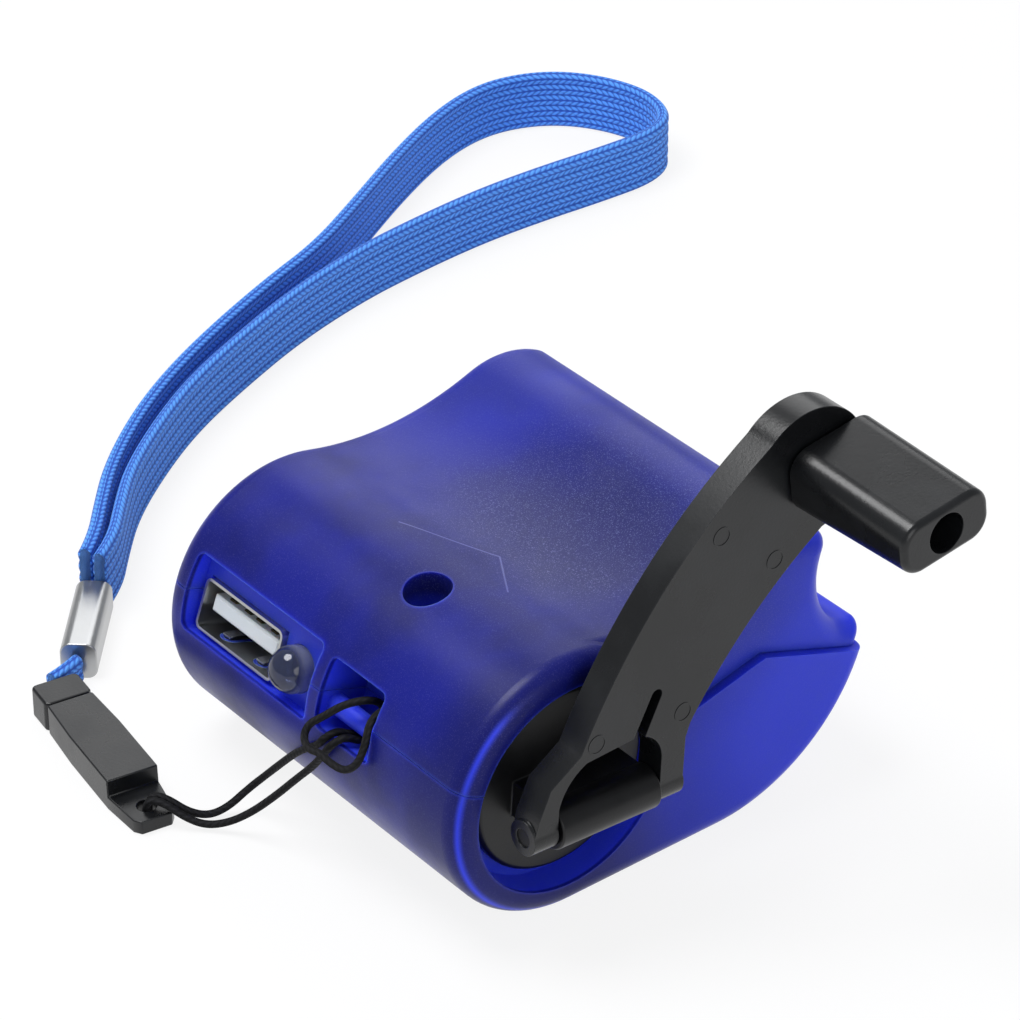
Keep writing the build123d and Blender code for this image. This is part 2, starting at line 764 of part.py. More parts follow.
motor_screw_spots = [(motor[0], motor[1] + way * motor_screw_offset) for way in (1, -1)]
with BuildPart() as rear_gear_plate:
    with BuildSketch(side(back_plate_front)):
        add(plate_outline.sketch)
        Circle(shaft_radius + running_gap, mode=Mode.SUBTRACT)
        with Locations(motor):
            Circle(motor_boss_radius, mode=Mode.SUBTRACT)
        with Locations(*motor_screw_spots):
            Circle(motor_screw_radius, mode=Mode.SUBTRACT)
    extrude(amount=-plate_thickness)
finish(rear_gear_plate, "rear_gear_plate")

with BuildPart() as plate_spacers:
    with BuildSketch(side(plate_front + plate_thickness)):
        with Locations(*spacer_spots):
            Circle(spacer_radius)
    extrude(amount=-(back_plate_front - plate_front - plate_thickness))
finish(plate_spacers, "plate_spacers")

# ---------------------------------------------------------------- generator
magnet_front = motor_front + motor_wall + 0.8
magnet_length = rotor_length + 1.2
endcap_thickness = 1.6
inner_radius = motor_radius - motor_wall

with BuildPart() as motor_can:
    with BuildSketch(side(motor_front, 0, *motor)):
        Circle(motor_radius)
    extrude(amount=-motor_length)
    fillet(motor_can.edges().sort_by(Axis.Y)[0], 0.5)
    with BuildSketch(side(motor_front + motor_wall, 0, *motor)):
        Circle(inner_radius)
    extrude(amount=-motor_length, mode=Mode.SUBTRACT)
    with BuildSketch(side(back_plate_front, 0, *motor)):
        Circle(motor_boss_radius)
    extrude(amount=-(plate_thickness + motor_wall))
    with BuildSketch(side(back_plate_front, 0, *motor)):
        Circle(motor_shaft_radius + running_gap)
    extrude(amount=-(plate_thickness + motor_wall), mode=Mode.SUBTRACT)
    with BuildSketch(side(motor_front)):
        with Locations(*motor_screw_spots):
            Circle(motor_screw_radius)
    extrude(amount=-motor_wall, mode=Mode.SUBTRACT)
finish(motor_can, "motor_can")

motor_screw_head = 1.0
with BuildPart() as motor_screws:
    with BuildSketch(side(back_plate_front)):
        with Locations(*motor_screw_spots):
            Circle(motor_screw_radius)
    extrude(amount=-(plate_thickness + motor_wall))
    with BuildSketch(side(back_plate_front)):
        with Locations(*motor_screw_spots):
            Circle(2 * motor_screw_radius)
    extrude(amount=motor_screw_head)
    with BuildSketch(side(back_plate_front - motor_screw_head)):
        with Locations(*motor_screw_spots):
            Rectangle(2.0, 0.4)
    extrude(amount=-0.4, mode=Mode.SUBTRACT)
finish(motor_screws, "motor_screws")

with BuildPart() as motor_magnets:
    with BuildSketch(side(magnet_front, 0, *motor)):
        Circle(inner_radius)
        Circle(inner_radius - magnet_thickness, mode=Mode.SUBTRACT)
        Rectangle(5.2, beyond, mode=Mode.SUBTRACT)
    extrude(amount=-magnet_length)
finish(motor_magnets, "motor_magnets")

terminal_offset = 4.5
terminal_back = motor_back + 2.4
with BuildPart() as motor_endcap:
    with BuildSketch(side(motor_back - endcap_thickness, 0, *motor)):
        Circle(inner_radius)
    extrude(amount=-endcap_thickness)
    with BuildSketch(side(motor_back, 0, *motor)):
        Circle(2.6)
    extrude(amount=-1.4)
    with BuildSketch(side(motor_front, 0, *motor)):
        Circle(motor_shaft_radius + running_gap)
    extrude(amount=-beyond, mode=Mode.SUBTRACT)
    with BuildSketch(side(motor_front, 0, *motor)):
        with Locations((0, terminal_offset), (0, -terminal_offset)):
            Rectangle(1.8, 0.5)
    extrude(amount=-beyond, mode=Mode.SUBTRACT)
finish(motor_endcap, "motor_endcap")

rotor_front = magnet_front + 0.6
rotor_back = rotor_front + rotor_length
rotor_hub_radius = 2.0
shoe_thickness = 1.2
with BuildPart() as armature_core:
    with BuildSketch(side(rotor_front, 0, *motor)):
        Circle(rotor_radius)
        Circle(rotor_radius - shoe_thickness, mode=Mode.SUBTRACT)
        with PolarLocations(rotor_radius, 3, start_angle=60):
            Rectangle(3 * shoe_thickness, 1.6, mode=Mode.SUBTRACT)
        with PolarLocations(rotor_radius / 2, 3):
            Rectangle(rotor_radius - 0.6, 1.4)
        Circle(rotor_hub_radius)
        Circle(motor_shaft_radius, mode=Mode.SUBTRACT)
    extrude(amount=-rotor_length)
finish(armature_core, "armature_core")

with BuildPart() as armature_windings:
    with BuildSketch(side(rotor_front - 0.4, 0, *motor)):
        with PolarLocations(3.2, 3):
            RectangleRounded(1.9, 4.0, 0.4)
            Rectangle(3.0, 1.4, mode=Mode.SUBTRACT)
    extrude(amount=-(rotor_length + 1.0))
finish(armature_windings, "armature_windings")

commutator_radius = 1.6
commutator_front = rotor_back + 0.8
commutator_length = motor_back - endcap_thickness - 0.3 - commutator_front
with BuildPart() as commutator:
    with BuildSketch(side(commutator_front, 0, *motor)):
        Circle(commutator_radius)
        Circle(motor_shaft_radius, mode=Mode.SUBTRACT)
    extrude(amount=-commutator_length)
finish(commutator, "commutator")

brush_front = commutator_front + 0.2
brush_start = commutator_radius + 2 * running_gap
brush_end = terminal_offset + 0.2
with BuildPart() as motor_brushes:
    for way in (1, -1):
        with BuildSketch(side(brush_front, 0, *motor)):
            with Locations((0, way * (brush_start + brush_end) / 2)):
                Rectangle(1.4, brush_end - brush_start)
        extrude(amount=-0.8)
        with BuildSketch(side(brush_front, 0, *motor)):
            with Locations((0, way * terminal_offset)):
                Rectangle(1.6, 0.4)
        extrude(amount=-(terminal_back - brush_front))
finish(motor_brushes, "motor_brushes")

pinion_front = wheel_front - layer_gap / 2
pinion_length = wheel_thickness + layer_gap
with BuildPart() as motor_shaft:
    with BuildSketch(side(pinion_front - 0.2, 0, *motor)):
        Circle(motor_shaft_radius)
    extrude(amount=-(motor_back + 1.8 - pinion_front + 0.2))
finish(motor_shaft, "motor_shaft")

with BuildPart() as motor_pinion:
    with BuildSketch(side(pinion_front, 0, *motor)):
        with BuildLine():
            draw_gear(pinion_teeth, motor_angle + 180 + 180 / pinion_teeth)
        make_face()
        Circle(motor_shaft_radius, mode=Mode.SUBTRACT)
    extrude(amount=-pinion_length)
finish(motor_pinion, "motor_pinion")

# ---------------------------------------------------------------- socket and lamp
usb_place = (across(usb_depth), usb_rise)
usb_back = usb_mouth - usb_length
base_front = 3.4
outward = Axis((0, 0, 0), (-port_cos, 0, port_sin))
with BuildPart() as usb_shell:
    with BuildSketch(port(usb_back)):
        with Locations(usb_place):
            RectangleRounded(usb_width, usb_height, 0.8)
            RectangleRounded(usb_width - 2 * usb_sheet, usb_height - 2 * usb_sheet, 0.5, mode=Mode.SUBTRACT)
    extrude(amount=usb_length)
finish(usb_shell, "usb_shell")

tongue_rise = usb_rise + 0.35
with BuildPart() as usb_insulator:
    with BuildSketch(port(usb_back)):
        with Locations(usb_place):
            RectangleRounded(usb_width - 2 * usb_sheet, usb_height - 2 * usb_sheet, 0.5)
    extrude(amount=base_front - usb_back)
    with BuildSketch(port(base_front)):
        with Locations((usb_place[0], tongue_rise)):
            Rectangle(tongue_width, tongue_thickness)
    extrude(amount=usb_mouth - 0.7 - base_front)
    chamfer(usb_insulator.faces().sort_by(outward)[-1].edges(), 0.25)
finish(usb_insulator, "usb_insulator")

contact_rise = tongue_rise + (tongue_thickness + contact_thickness) / 2
with BuildPart() as usb_contacts:
    with BuildSketch(port(base_front)):
        for offset_x in (-3.5, -1.0, 1.0, 3.5):
            with Locations((usb_place[0] + offset_x, contact_rise)):
                Rectangle(contact_width, contact_thickness)
    extrude(amount=usb_mouth - 1.5 - base_front)
finish(usb_contacts, "usb_contacts")

lamp_place = (across(lamp_depth), lamp_rise)
with BuildPart() as led_lamp:
    with BuildSketch(port(lamp_back)):
        with Locations(lamp_place):
            Circle(lamp_radius + lamp_flange)
    extrude(amount=1.0)
    with BuildSketch(port(lamp_back)):
        with Locations(lamp_place):
            Circle(lamp_radius)
    extrude(amount=lamp_tip - lamp_back)
    fillet(led_lamp.faces().sort_by(outward)[-1].edges(), lamp_radius - 0.05)
finish(led_lamp, "led_lamp")

lead_width = 0.5
lead_bend = 4.0
with BuildPart() as led_leads:
    for way in (1.27, -1.27):
        with BuildSketch(port(lead_bend)):
            with Locations((lamp_place[0] + way, lamp_rise)):
                Rectangle(lead_width, lead_width)
        extrude(amount=lamp_back - lead_bend)
        with BuildSketch(port(lead_bend)):
            with Locations((lamp_place[0] + way, (board_top + lamp_rise) / 2)):
                Rectangle(lead_width, lamp_rise - board_top)
        extrude(amount=lead_width)
finish(led_leads, "led_leads")

# ---------------------------------------------------------------- circuit board
with BuildPart() as circuit_board:
    with BuildSketch(shelf(board_top)):
        with Locations((across((board_near + board_far) / 2), (board_front + board_back) / 2)):
            Rectangle(board_far - board_near, board_front - board_back)
    extrude(amount=board_thickness)
finish(circuit_board, "circuit_board")

with BuildPart() as rectifier_diodes:
    with BuildSketch(port(board_back + 1.5)):
        for number in range(4):
            spot_depth = board_near + part_spacing + number * diode_pitch
            with Locations((across(spot_depth), board_top + diode_radius)):
                Circle(diode_radius)
    extrude(amount=diode_length)
finish(rectifier_diodes, "rectifier_diodes")

with BuildPart() as smoothing_capacitor:
    with BuildSketch(shelf(board_top)):
        with Locations((across(board_far - capacitor_radius - 0.5), board_back + capacitor_radius + 1.1)):
            Circle(capacitor_radius)
    extrude(amount=-capacitor_height)
finish(smoothing_capacitor, "smoothing_capacitor")

with BuildPart() as voltage_regulator:
    with BuildSketch(shelf(board_bottom)):
        with Locations((across((board_near + board_far) / 2 + 0.25), board_back + 7.0)):
            Rectangle(regulator_width, regulator_width)
    extrude(amount=regulator_height)
finish(voltage_regulator, "voltage_regulator")

with BuildPart() as led_resistor:
    with BuildSketch(shelf(board_bottom)):
        with Locations((across(board_near + 6.0), board_front - 5.4)):
            Rectangle(resistor_width, resistor_length)
    extrude(amount=resistor_height)
finish(led_resistor, "led_resistor")


def seen_from_shaft(x, depth, z):
    return (hub_x + x, near_y + depth, hub_z + z)


def on_board(reach, depth, rise):
    """A point near the board, from the place along the socket, the depth and the rise."""
    x = rise * port_sin - reach * port_cos
    return seen_from_shaft(x, depth, reach * port_sin + rise * port_cos)


def corner_radii(points):
    """The largest even radii that the runs of a route allow, one for each corner."""
    radii = []
    for before, corner, after in zip(points, points[1:], points[2:]):
        way_in = Vector(*corner) - Vector(*before)
        way_out = Vector(*after) - Vector(*corner)
        turn = math.radians(way_in.get_angle(way_out))
        radii.append(0.45 * min(way_in.length, way_out.length) / math.tan(turn / 2))
    return radii


def tube(points, radius):
    """A round tube along straight runs and tangent arcs, and its length."""
    start = Vector(*points[1]) - Vector(*points[0])
    with BuildPart() as run:
        with BuildLine() as path:
            FilletPolyline(*points, radius=corner_radii(points))
        with BuildSketch(Plane(origin=points[0], z_dir=start)):
            Circle(radius)
        sweep(path=path.line)
    return run.part, sum(edge.length for edge in path.edges())


wire_out = 2.4              # the wires come this far straight out of the generator
wire_end = board_back + 0.7
with BuildPart() as motor_wires:
    for way, spot_depth in ((1, board_near + 8.1), (-1, board_near + 4.9)):
        wire_turn = motor[0] - motor_radius + 0.5
        wire_route = [
            seen_from_shaft(motor[0], terminal_back, motor[1] + way * terminal_offset),
            seen_from_shaft(motor[0], terminal_back + wire_out, motor[1] + way * terminal_offset),
            seen_from_shaft(wire_turn, terminal_back + wire_out + 0.2, motor[1] + way * 4.0),
            on_board(wire_end - 1.7, spot_depth, board_top + wire_rise + 0.4 + way),
            on_board(wire_end, spot_depth, board_top + wire_rise),
            on_board(wire_end, spot_depth, board_top),
        ]
        add(tube(wire_route, wire_radius)[0])
finish(motor_wires, "motor_wires")

# ---------------------------------------------------------------- lanyard and wrist strap
cord_route = [
    (-37.1, 14.0, 0.7), (-37.1, 14.0, 2.0), (-36.7, 13.4, 2.9), (-35.8, 12.1, 2.6), (-34.6, 10.6, 1.4),
    (-32.8, 9.6, 0.6), (-30.6, 9.2, 0.9), (-28.4, 8.6, 2.6), (-27.3, 6.2, 5.6), (-27.5, 3.0, 9.1),
    (-27.8, 0.2, 12.0), (-27.9, -3.1, 14.6), (-27.9, -4.2, 16.1), (-26.7, -4.8, 16.8), (-25.2, -5.2, 15.8),
    (-23.1, -5.9, 16.0), (-22.2, -6.5, 18.1), (-22.9, -7.0, 19.8), (-24.6, -6.9, 20.8), (-26.4, -5.6, 20.3),
    (-27.4, -3.5, 18.1), (-28.3, -2.0, 16.7), (-29.2, -2.4, 15.5), (-29.5, -3.9, 15.2), (-29.4, -5.4, 15.7),
    (-29.3, -6.9, 15.3), (-28.9, -8.8, 15.1), (-28.3, -10.2, 16.4), (-27.5, -10.5, 18.7),
    (-26.3, -9.6, 20.4), (-24.2, -9.1, 20.7), (-22.7, -8.6, 19.5), (-22.4, -8.0, 17.5), (-23.2, -7.2, 15.9),
    (-25.2, -6.5, 15.8), (-26.7, -6.1, 16.8), (-27.9, -5.5, 16.1), (-28.1, -4.4, 14.4), (-27.8, -2.2, 11.5),
    (-28.3, 0.1, 8.8), (-29.3, 2.4, 5.8), (-30.7, 4.7, 3.0), (-32.3, 6.7, 1.2), (-34.0, 8.5, 0.6),
    (-35.5, 10.1, 1.5), (-36.5, 11.6, 2.6), (-37.4, 12.9, 2.9), (-37.8, 13.5, 2.0), (-37.8, 13.5, 0.7),
]
cord_tube, cord_length = tube(cord_route, cord_diameter / 2)
with BuildPart() as lanyard_cord:
    add(cord_tube)
section = math.pi * cord_diameter**2 / 4
print("cord radii", [round(r, 2) for r in corner_radii(cord_route)])
print(f"cord {cord_length:.1f} long, {lanyard_cord.part.volume:.2f} against {section * cord_length:.2f}")
finish(lanyard_cord, "lanyard_cord")

buckle_nose = (-37.8, 11.5)
buckle_turn = 81.0                                  # its long axis, from +X


def buckle(height):
    """A level plane at the buckle's nose, its x axis along the buckle."""
    a = math.radians(buckle_turn)
    return Plane(origin=(*buckle_nose, height), x_dir=(math.cos(a), math.sin(a), 0), z_dir=(0, 0, 1))


tongue_reach = 7.0
tongue_half = 1.5
tongue_low = 1.1
tongue_high = 2.5
with BuildPart() as buckle_socket:
    with BuildSketch(buckle(0)):
        with BuildLine():
            Polyline(
                (0, buckle_nose_width / 2 - 0.6), (0.8, buckle_nose_width / 2),
                (buckle_nose_length, buckle_width / 2), (buckle_length - 6, buckle_width / 2),
                (buckle_length, buckle_width / 2 - 0.3), (buckle_length, 0.3 - buckle_width / 2),
                (buckle_length - 6, -buckle_width / 2), (buckle_nose_length, -buckle_width / 2),
                (0.8, -buckle_nose_width / 2), (0, 0.6 - buckle_nose_width / 2), close=True,
            )
        make_face()
    extrude(amount=buckle_height)
    with BuildSketch(buckle(buckle_nose_height)):           # the nose is thinner
        with Locations((buckle_nose_length / 2 - 1, 0)):
            Rectangle(buckle_nose_length + 2, 2 * buckle_width)
    extrude(amount=buckle_height, mode=Mode.SUBTRACT)
    with BuildSketch(buckle(-1)):
        with Locations((buckle_hole_inset, 0)):
            Circle(buckle_hole_radius)
    extrude(amount=buckle_height, mode=Mode.SUBTRACT)
    with BuildSketch(buckle(tongue_low - 0.1)):             # pocket for the tongue of the other half
        with Locations((buckle_length - tongue_reach / 2, 0)):
            Rectangle(tongue_reach + 0.4, 2 * tongue_half + 0.2)
    extrude(amount=tongue_high - tongue_low + 0.2, mode=Mode.SUBTRACT)
finish(buckle_socket, "buckle_socket")

with BuildPart() as buckle_plug:
    with BuildSketch(buckle(0)):
        with Locations((buckle_length + buckle_gap + buckle_cap_length / 2, 0)):
            Rectangle(buckle_cap_length, buckle_width - 0.4)
    extrude(amount=buckle_height)
    chamfer(buckle_plug.edges().filter_by(Axis.Z), 0.4)
    with BuildSketch(buckle(tongue_low)):
        with Locations((buckle_length + buckle_gap - tongue_reach / 2 + 0.2, 0)):
            Rectangle(tongue_reach, 2 * tongue_half)
    extrude(amount=tongue_high - tongue_low)
finish(buckle_plug, "buckle_plug")

crimp_start = (-29.0, 38.6)
crimp_end = (-20.8, 47.6)
crimp_angle = math.atan2(crimp_end[1] - crimp_start[1], crimp_end[0] - crimp_start[0])
crimp_way = (math.cos(crimp_angle), math.sin(crimp_angle), 0)
crimp_middle = ((crimp_start[0] + crimp_end[0]) / 2, (crimp_start[1] + crimp_end[1]) / 2, 0)
with BuildPart() as strap_crimp:
    with BuildSketch(Plane(origin=crimp_middle, x_dir=crimp_way, z_dir=(0, 0, 1))):
        Rectangle(crimp_length, crimp_width)
    extrude(amount=crimp_height)
    fillet(strap_crimp.edges().filter_by(Axis((0, 0, 0), crimp_way)), 1.2)
finish(strap_crimp, "strap_crimp")

# the strap stands on its edge: out along the near ply, round the end, and back along the far ply
strap_route = [
    (-20.2, 47.3), (-16.7, 49.6), (-12.7, 54.2), (-7.3, 59.9), (0.8, 65.9), (8.4, 70.6), (17.1, 74.6),
    (29.9, 79.6), (41.9, 82.6), (51.6, 83.8), (61.8, 84.5), (71.2, 84.2), (80.2, 83.4), (88.2, 83.1),
    (92.6, 85.4), (94.3, 91.0), (92.6, 97.2), (89.0, 102.2), (84.0, 105.1), (78.0, 105.9), (70.1, 103.8),
    (59.8, 98.8), (48.4, 92.2), (38.6, 86.8), (28.4, 83.2), (17.0, 78.4), (7.4, 73.6), (-0.9, 68.3),
    (-8.9, 61.7), (-14.4, 55.6), (-18.0, 51.4), (-20.9, 49.0),
]
strap_tail = [(-29.5, 38.1), (-31.2, 37.4), (-33.6, 36.9)]


def band(points):
    """The strap's outline on the table, along straight runs and tangent arcs, and its length."""
    with BuildSketch() as outline:
        with BuildLine(mode=Mode.PRIVATE) as middle:
            FilletPolyline(*points, radius=corner_radii([(*p, 0) for p in points]))
        trace(middle.line, line_width=strap_thickness)
    return outline.sketch, sum(edge.length for edge in middle.edges())


strap_outline, strap_length = band(strap_route)
with BuildPart() as wrist_strap:
    with BuildSketch(Plane.XY):
        add(strap_outline)
    extrude(amount=strap_width)
    with BuildSketch(Plane.XY):
        add(band(strap_tail)[0])
    extrude(amount=buckle_height)
print(f"strap {strap_length:.1f} long, volume {wrist_strap.part.volume:.1f}")
finish(wrist_strap, "wrist_strap")
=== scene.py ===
import json
import math
import bmesh
import bpy
from mathutils import Matrix, Vector


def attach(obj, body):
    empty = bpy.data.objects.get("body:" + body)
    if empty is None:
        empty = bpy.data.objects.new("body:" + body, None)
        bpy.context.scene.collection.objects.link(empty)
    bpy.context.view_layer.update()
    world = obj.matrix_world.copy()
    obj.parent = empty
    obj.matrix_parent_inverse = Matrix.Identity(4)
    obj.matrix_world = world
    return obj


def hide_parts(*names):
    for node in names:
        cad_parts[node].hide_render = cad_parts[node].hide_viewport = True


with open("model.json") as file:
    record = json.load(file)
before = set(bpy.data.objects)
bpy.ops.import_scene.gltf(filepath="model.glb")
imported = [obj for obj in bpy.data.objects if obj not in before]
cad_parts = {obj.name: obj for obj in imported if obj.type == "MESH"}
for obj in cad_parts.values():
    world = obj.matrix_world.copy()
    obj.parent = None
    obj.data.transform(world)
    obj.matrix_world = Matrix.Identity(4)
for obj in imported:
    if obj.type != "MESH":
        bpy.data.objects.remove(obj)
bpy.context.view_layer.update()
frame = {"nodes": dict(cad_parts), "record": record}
nodes = frame["nodes"]
scene = bpy.context.scene
mm = 0.001
print("frame loaded:", len(nodes), "nodes")


def paint(red, green, blue):
    # a colour as seen on screen, 0 to 255, turned into the shader's linear one
    def channel(v):
        v /= 255
        return v / 12.92 if v <= 0.04045 else ((v + 0.055) / 1.055) ** 2.4
    return (channel(red), channel(green), channel(blue), 1.0)


# camera, room and lamps

shot = {
    "place": (-241.04, -300.54, 283.14),    # mm, from the middle of the underside
    "right": (0.78141, -0.62402, 0.0),
    "up": (0.34319, 0.42975, 0.83519),
    "lens": 161.16,
    "sensor": 36.0,
}


def placeCamera():
    data = bpy.data.cameras.new("camera")
    data.lens = shot["lens"]
    data.sensor_width = shot["sensor"]
    data.clip_start, data.clip_end = 0.01, 20.0
    right, up = Vector(shot["right"]), Vector(shot["up"])
    turn = Matrix((right, up, right.cross(up))).transposed().to_4x4()
    camera = bpy.data.objects.new("camera", data)
    camera.matrix_world = Matrix.Translation(Vector(shot["place"]) * mm) @ turn
    scene.collection.objects.link(camera)
    scene.camera = camera
    scene.view_settings.view_transform = "Standard"


placeCamera()

room = {
    "floorSize": 3.0,                       # metres, as are the lamps' places and sizes
    "floorWhite": (0.86, 0.86, 0.87, 1.0),
    "skyTint": (0.93, 0.96, 1.0, 1.0),
    "skyStrength": 0.42,
    "shadowHide": 0.86,                     # how much of the floor is plain white to the eye
    "lamps": [                              # name, place, size, watts
        ("keyLamp", (-0.10, 0.12, 0.42), 0.24, 1.6),
        ("backLamp", (0.24, 0.30, 0.26), 0.30, 0.42),
        ("fillLamp", (-0.10, -0.42, 0.20), 0.30, 0.5),
    ],
    "aim": (0.0, 0.0, 0.015),
}


def link(tree, source, target):
    tree.links.new(source, target)


def seenOnly(tree):
    # 1 for camera, mirror and glass rays, 0 for the light that falls on things
    path = tree.nodes.new("ShaderNodeLightPath")
    total = path.outputs["Is Camera Ray"]
    for name in ("Is Glossy Ray", "Is Transmission Ray"):
        most = tree.nodes.new("ShaderNodeMath")
        most.operation = "MAXIMUM"
        link(tree, total, most.inputs[0])
        link(tree, path.outputs[name], most.inputs[1])
        total = most.outputs[0]
    return total


def lightRoom():
    world = bpy.data.worlds.new("room")
    world.use_nodes = True
    scene.world = world
    tree = world.node_tree
    tree.nodes.clear()
    # the camera sees plain white, everything else the weaker sky
    glow, sky = (tree.nodes.new("ShaderNodeBackground") for _ in range(2))
    glow.inputs["Color"].default_value = (1.0, 1.0, 1.0, 1.0)
    sky.inputs["Color"].default_value = room["skyTint"]
    sky.inputs["Strength"].default_value = room["skyStrength"]
    path = tree.nodes.new("ShaderNodeLightPath")
    mix = tree.nodes.new("ShaderNodeMixShader")
    out = tree.nodes.new("ShaderNodeOutputWorld")
    link(tree, path.outputs["Is Camera Ray"], mix.inputs[0])
    link(tree, sky.outputs[0], mix.inputs[1])
    link(tree, glow.outputs[0], mix.inputs[2])
    link(tree, mix.outputs[0], out.inputs["Surface"])
    for name, place, size, watts in room["lamps"]:
        data = bpy.data.lights.new(name, "AREA")
        data.shape, data.size, data.energy = "DISK", size, watts
        lamp = bpy.data.objects.new(name, data)
        lamp.location = place
        way = Vector(room["aim"]) - Vector(place)
        lamp.rotation_euler = way.to_track_quat("-Z", "Y").to_euler()
        scene.collection.objects.link(lamp)


def layFloor():
    mesh = bpy.data.meshes.new("floor")
    half = room["floorSize"] / 2
    corners = [(-half, -half, 0), (half, -half, 0), (half, half, 0), (-half, half, 0)]
    mesh.from_pydata(corners, [], [(0, 1, 2, 3)])
    floor = bpy.data.objects.new("floor", mesh)
    scene.collection.objects.link(floor)
    material = bpy.data.materials.new("floorPaper")
    material.use_nodes = True
    tree = material.node_tree
    tree.nodes.clear()
    paper = tree.nodes.new("ShaderNodeBsdfDiffuse")
    paper.inputs["Color"].default_value = room["floorWhite"]
    glow = tree.nodes.new("ShaderNodeEmission")
    share = tree.nodes.new("ShaderNodeMath")
    share.operation = "MULTIPLY"
    share.inputs[1].default_value = room["shadowHide"]
    link(tree, seenOnly(tree), share.inputs[0])
    mix = tree.nodes.new("ShaderNodeMixShader")
    out = tree.nodes.new("ShaderNodeOutputMaterial")
    link(tree, share.outputs[0], mix.inputs[0])
    link(tree, paper.outputs[0], mix.inputs[1])
    link(tree, glow.outputs[0], mix.inputs[2])
    link(tree, mix.outputs[0], out.inputs["Surface"])
    mesh.materials.append(material)


lightRoom()
layFloor()
print("camera, lamps and floor placed")

# shader effects that several finishes share

relief = {
    "wearFrom": 0.35,                       # of the cloud's noise
    "wearTo": 0.7,
    "wearShare": 0.25,                      # of the worn color, where a cloud is thickest
    "edgeFlat": 0.995,                      # cosine between a face and its rounded edge
    "edgeSharp": 0.86,
    "edgeSamples": 6,
    "edgeShare": 0.3,                       # of the worn color, at an edge
    "smoother": 0.88,                       # times a finish's own roughness
    "rougher": 1.15,
    "stitchShare": 0.6,                     # of a rib's height
    "grooveFrom": 0.55,                     # 0 in the middle of a rib, 1 at its side
}


def newEffect(name, inputs, outputs):
    tree = bpy.data.node_groups.new(name, "ShaderNodeTree")
    for label, kind, value in inputs:
        socket = tree.interface.new_socket(label, in_out="INPUT", socket_type=kind)
        if value is not None:
            socket.default_value = value
    for label, kind in outputs:
        tree.interface.new_socket(label, in_out="OUTPUT", socket_type=kind)
    return tree, tree.nodes.new("NodeGroupInput").outputs, tree.nodes.new("NodeGroupOutput").inputs


def feed(tree, value, socket):
    if isinstance(value, bpy.types.NodeSocket):
        tree.links.new(value, socket)
    else:
        socket.default_value = value


def calc(tree, operation, *values, clamp=False):
    node = tree.nodes.new("ShaderNodeMath")
    node.operation = operation
    node.use_clamp = clamp
    for value, socket in zip(values, node.inputs):
        feed(tree, value, socket)
    return node.outputs[0]


def times(tree, first, second):
    return calc(tree, "MULTIPLY", first, second)


def noise(tree, vector, scale, detail, roughness=0.5):
    node = tree.nodes.new("ShaderNodeTexNoise")
    feed(tree, vector, node.inputs["Vector"])
    for label, value in (("Scale", scale), ("Detail", detail), ("Roughness", roughness)):
        feed(tree, value, node.inputs[label])
    return node.outputs["Fac"]


def ramp(tree, value, low, high, toLow=0.0, toHigh=1.0):
    node = tree.nodes.new("ShaderNodeMapRange")
    node.interpolation_type = "SMOOTHSTEP"
    for socket, number in zip(node.inputs, (value, low, high, toLow, toHigh)):
        feed(tree, number, socket)
    return node.outputs["Result"]


def blendColor(tree, share, first, second):
    node = tree.nodes.new("ShaderNodeMix")
    node.data_type = "RGBA"
    feed(tree, share, node.inputs["Factor"])
    feed(tree, first, node.inputs[6])
    feed(tree, second, node.inputs[7])
    return node.outputs[2]


def grainEffect():
    # fine pits of a mould or a spun surface, with slow clouds of wear
    tree, given, out = newEffect(
        "mouldGrain",
        [("Vector", "NodeSocketVector", None), ("Fine", "NodeSocketFloat", 4000.0),
         ("Cloud", "NodeSocketFloat", 90.0)],
        [("Height", "NodeSocketFloat"), ("Wear", "NodeSocketFloat")],
    )
    fine = noise(tree, given["Vector"], given["Fine"], 3.0, 0.6)
    cloud = noise(tree, given["Vector"], given["Cloud"], 4.0, 0.6)
    feed(tree, fine, out["Height"])
    feed(tree, ramp(tree, cloud, relief["wearFrom"], relief["wearTo"]), out["Wear"])
    return tree


def edgeEffect():
    # how far a point is from the flat of its face, by the rounded normal
    tree, given, out = newEffect(
        "edgeWearAndGlow", [("Radius", "NodeSocketFloat", 0.0004)], [("Edge", "NodeSocketFloat")])
    bevel = tree.nodes.new("ShaderNodeBevel")
    bevel.samples = relief["edgeSamples"]
    feed(tree, given["Radius"], bevel.inputs["Radius"])
    surface = tree.nodes.new("ShaderNodeNewGeometry")
    dot = tree.nodes.new("ShaderNodeVectorMath")
    dot.operation = "DOT_PRODUCT"
    feed(tree, bevel.outputs[0], dot.inputs[0])
    feed(tree, surface.outputs["Normal"], dot.inputs[1])
    edge = ramp(tree, dot.outputs["Value"], relief["edgeFlat"], relief["edgeSharp"])
    feed(tree, edge, out["Edge"])
    return tree


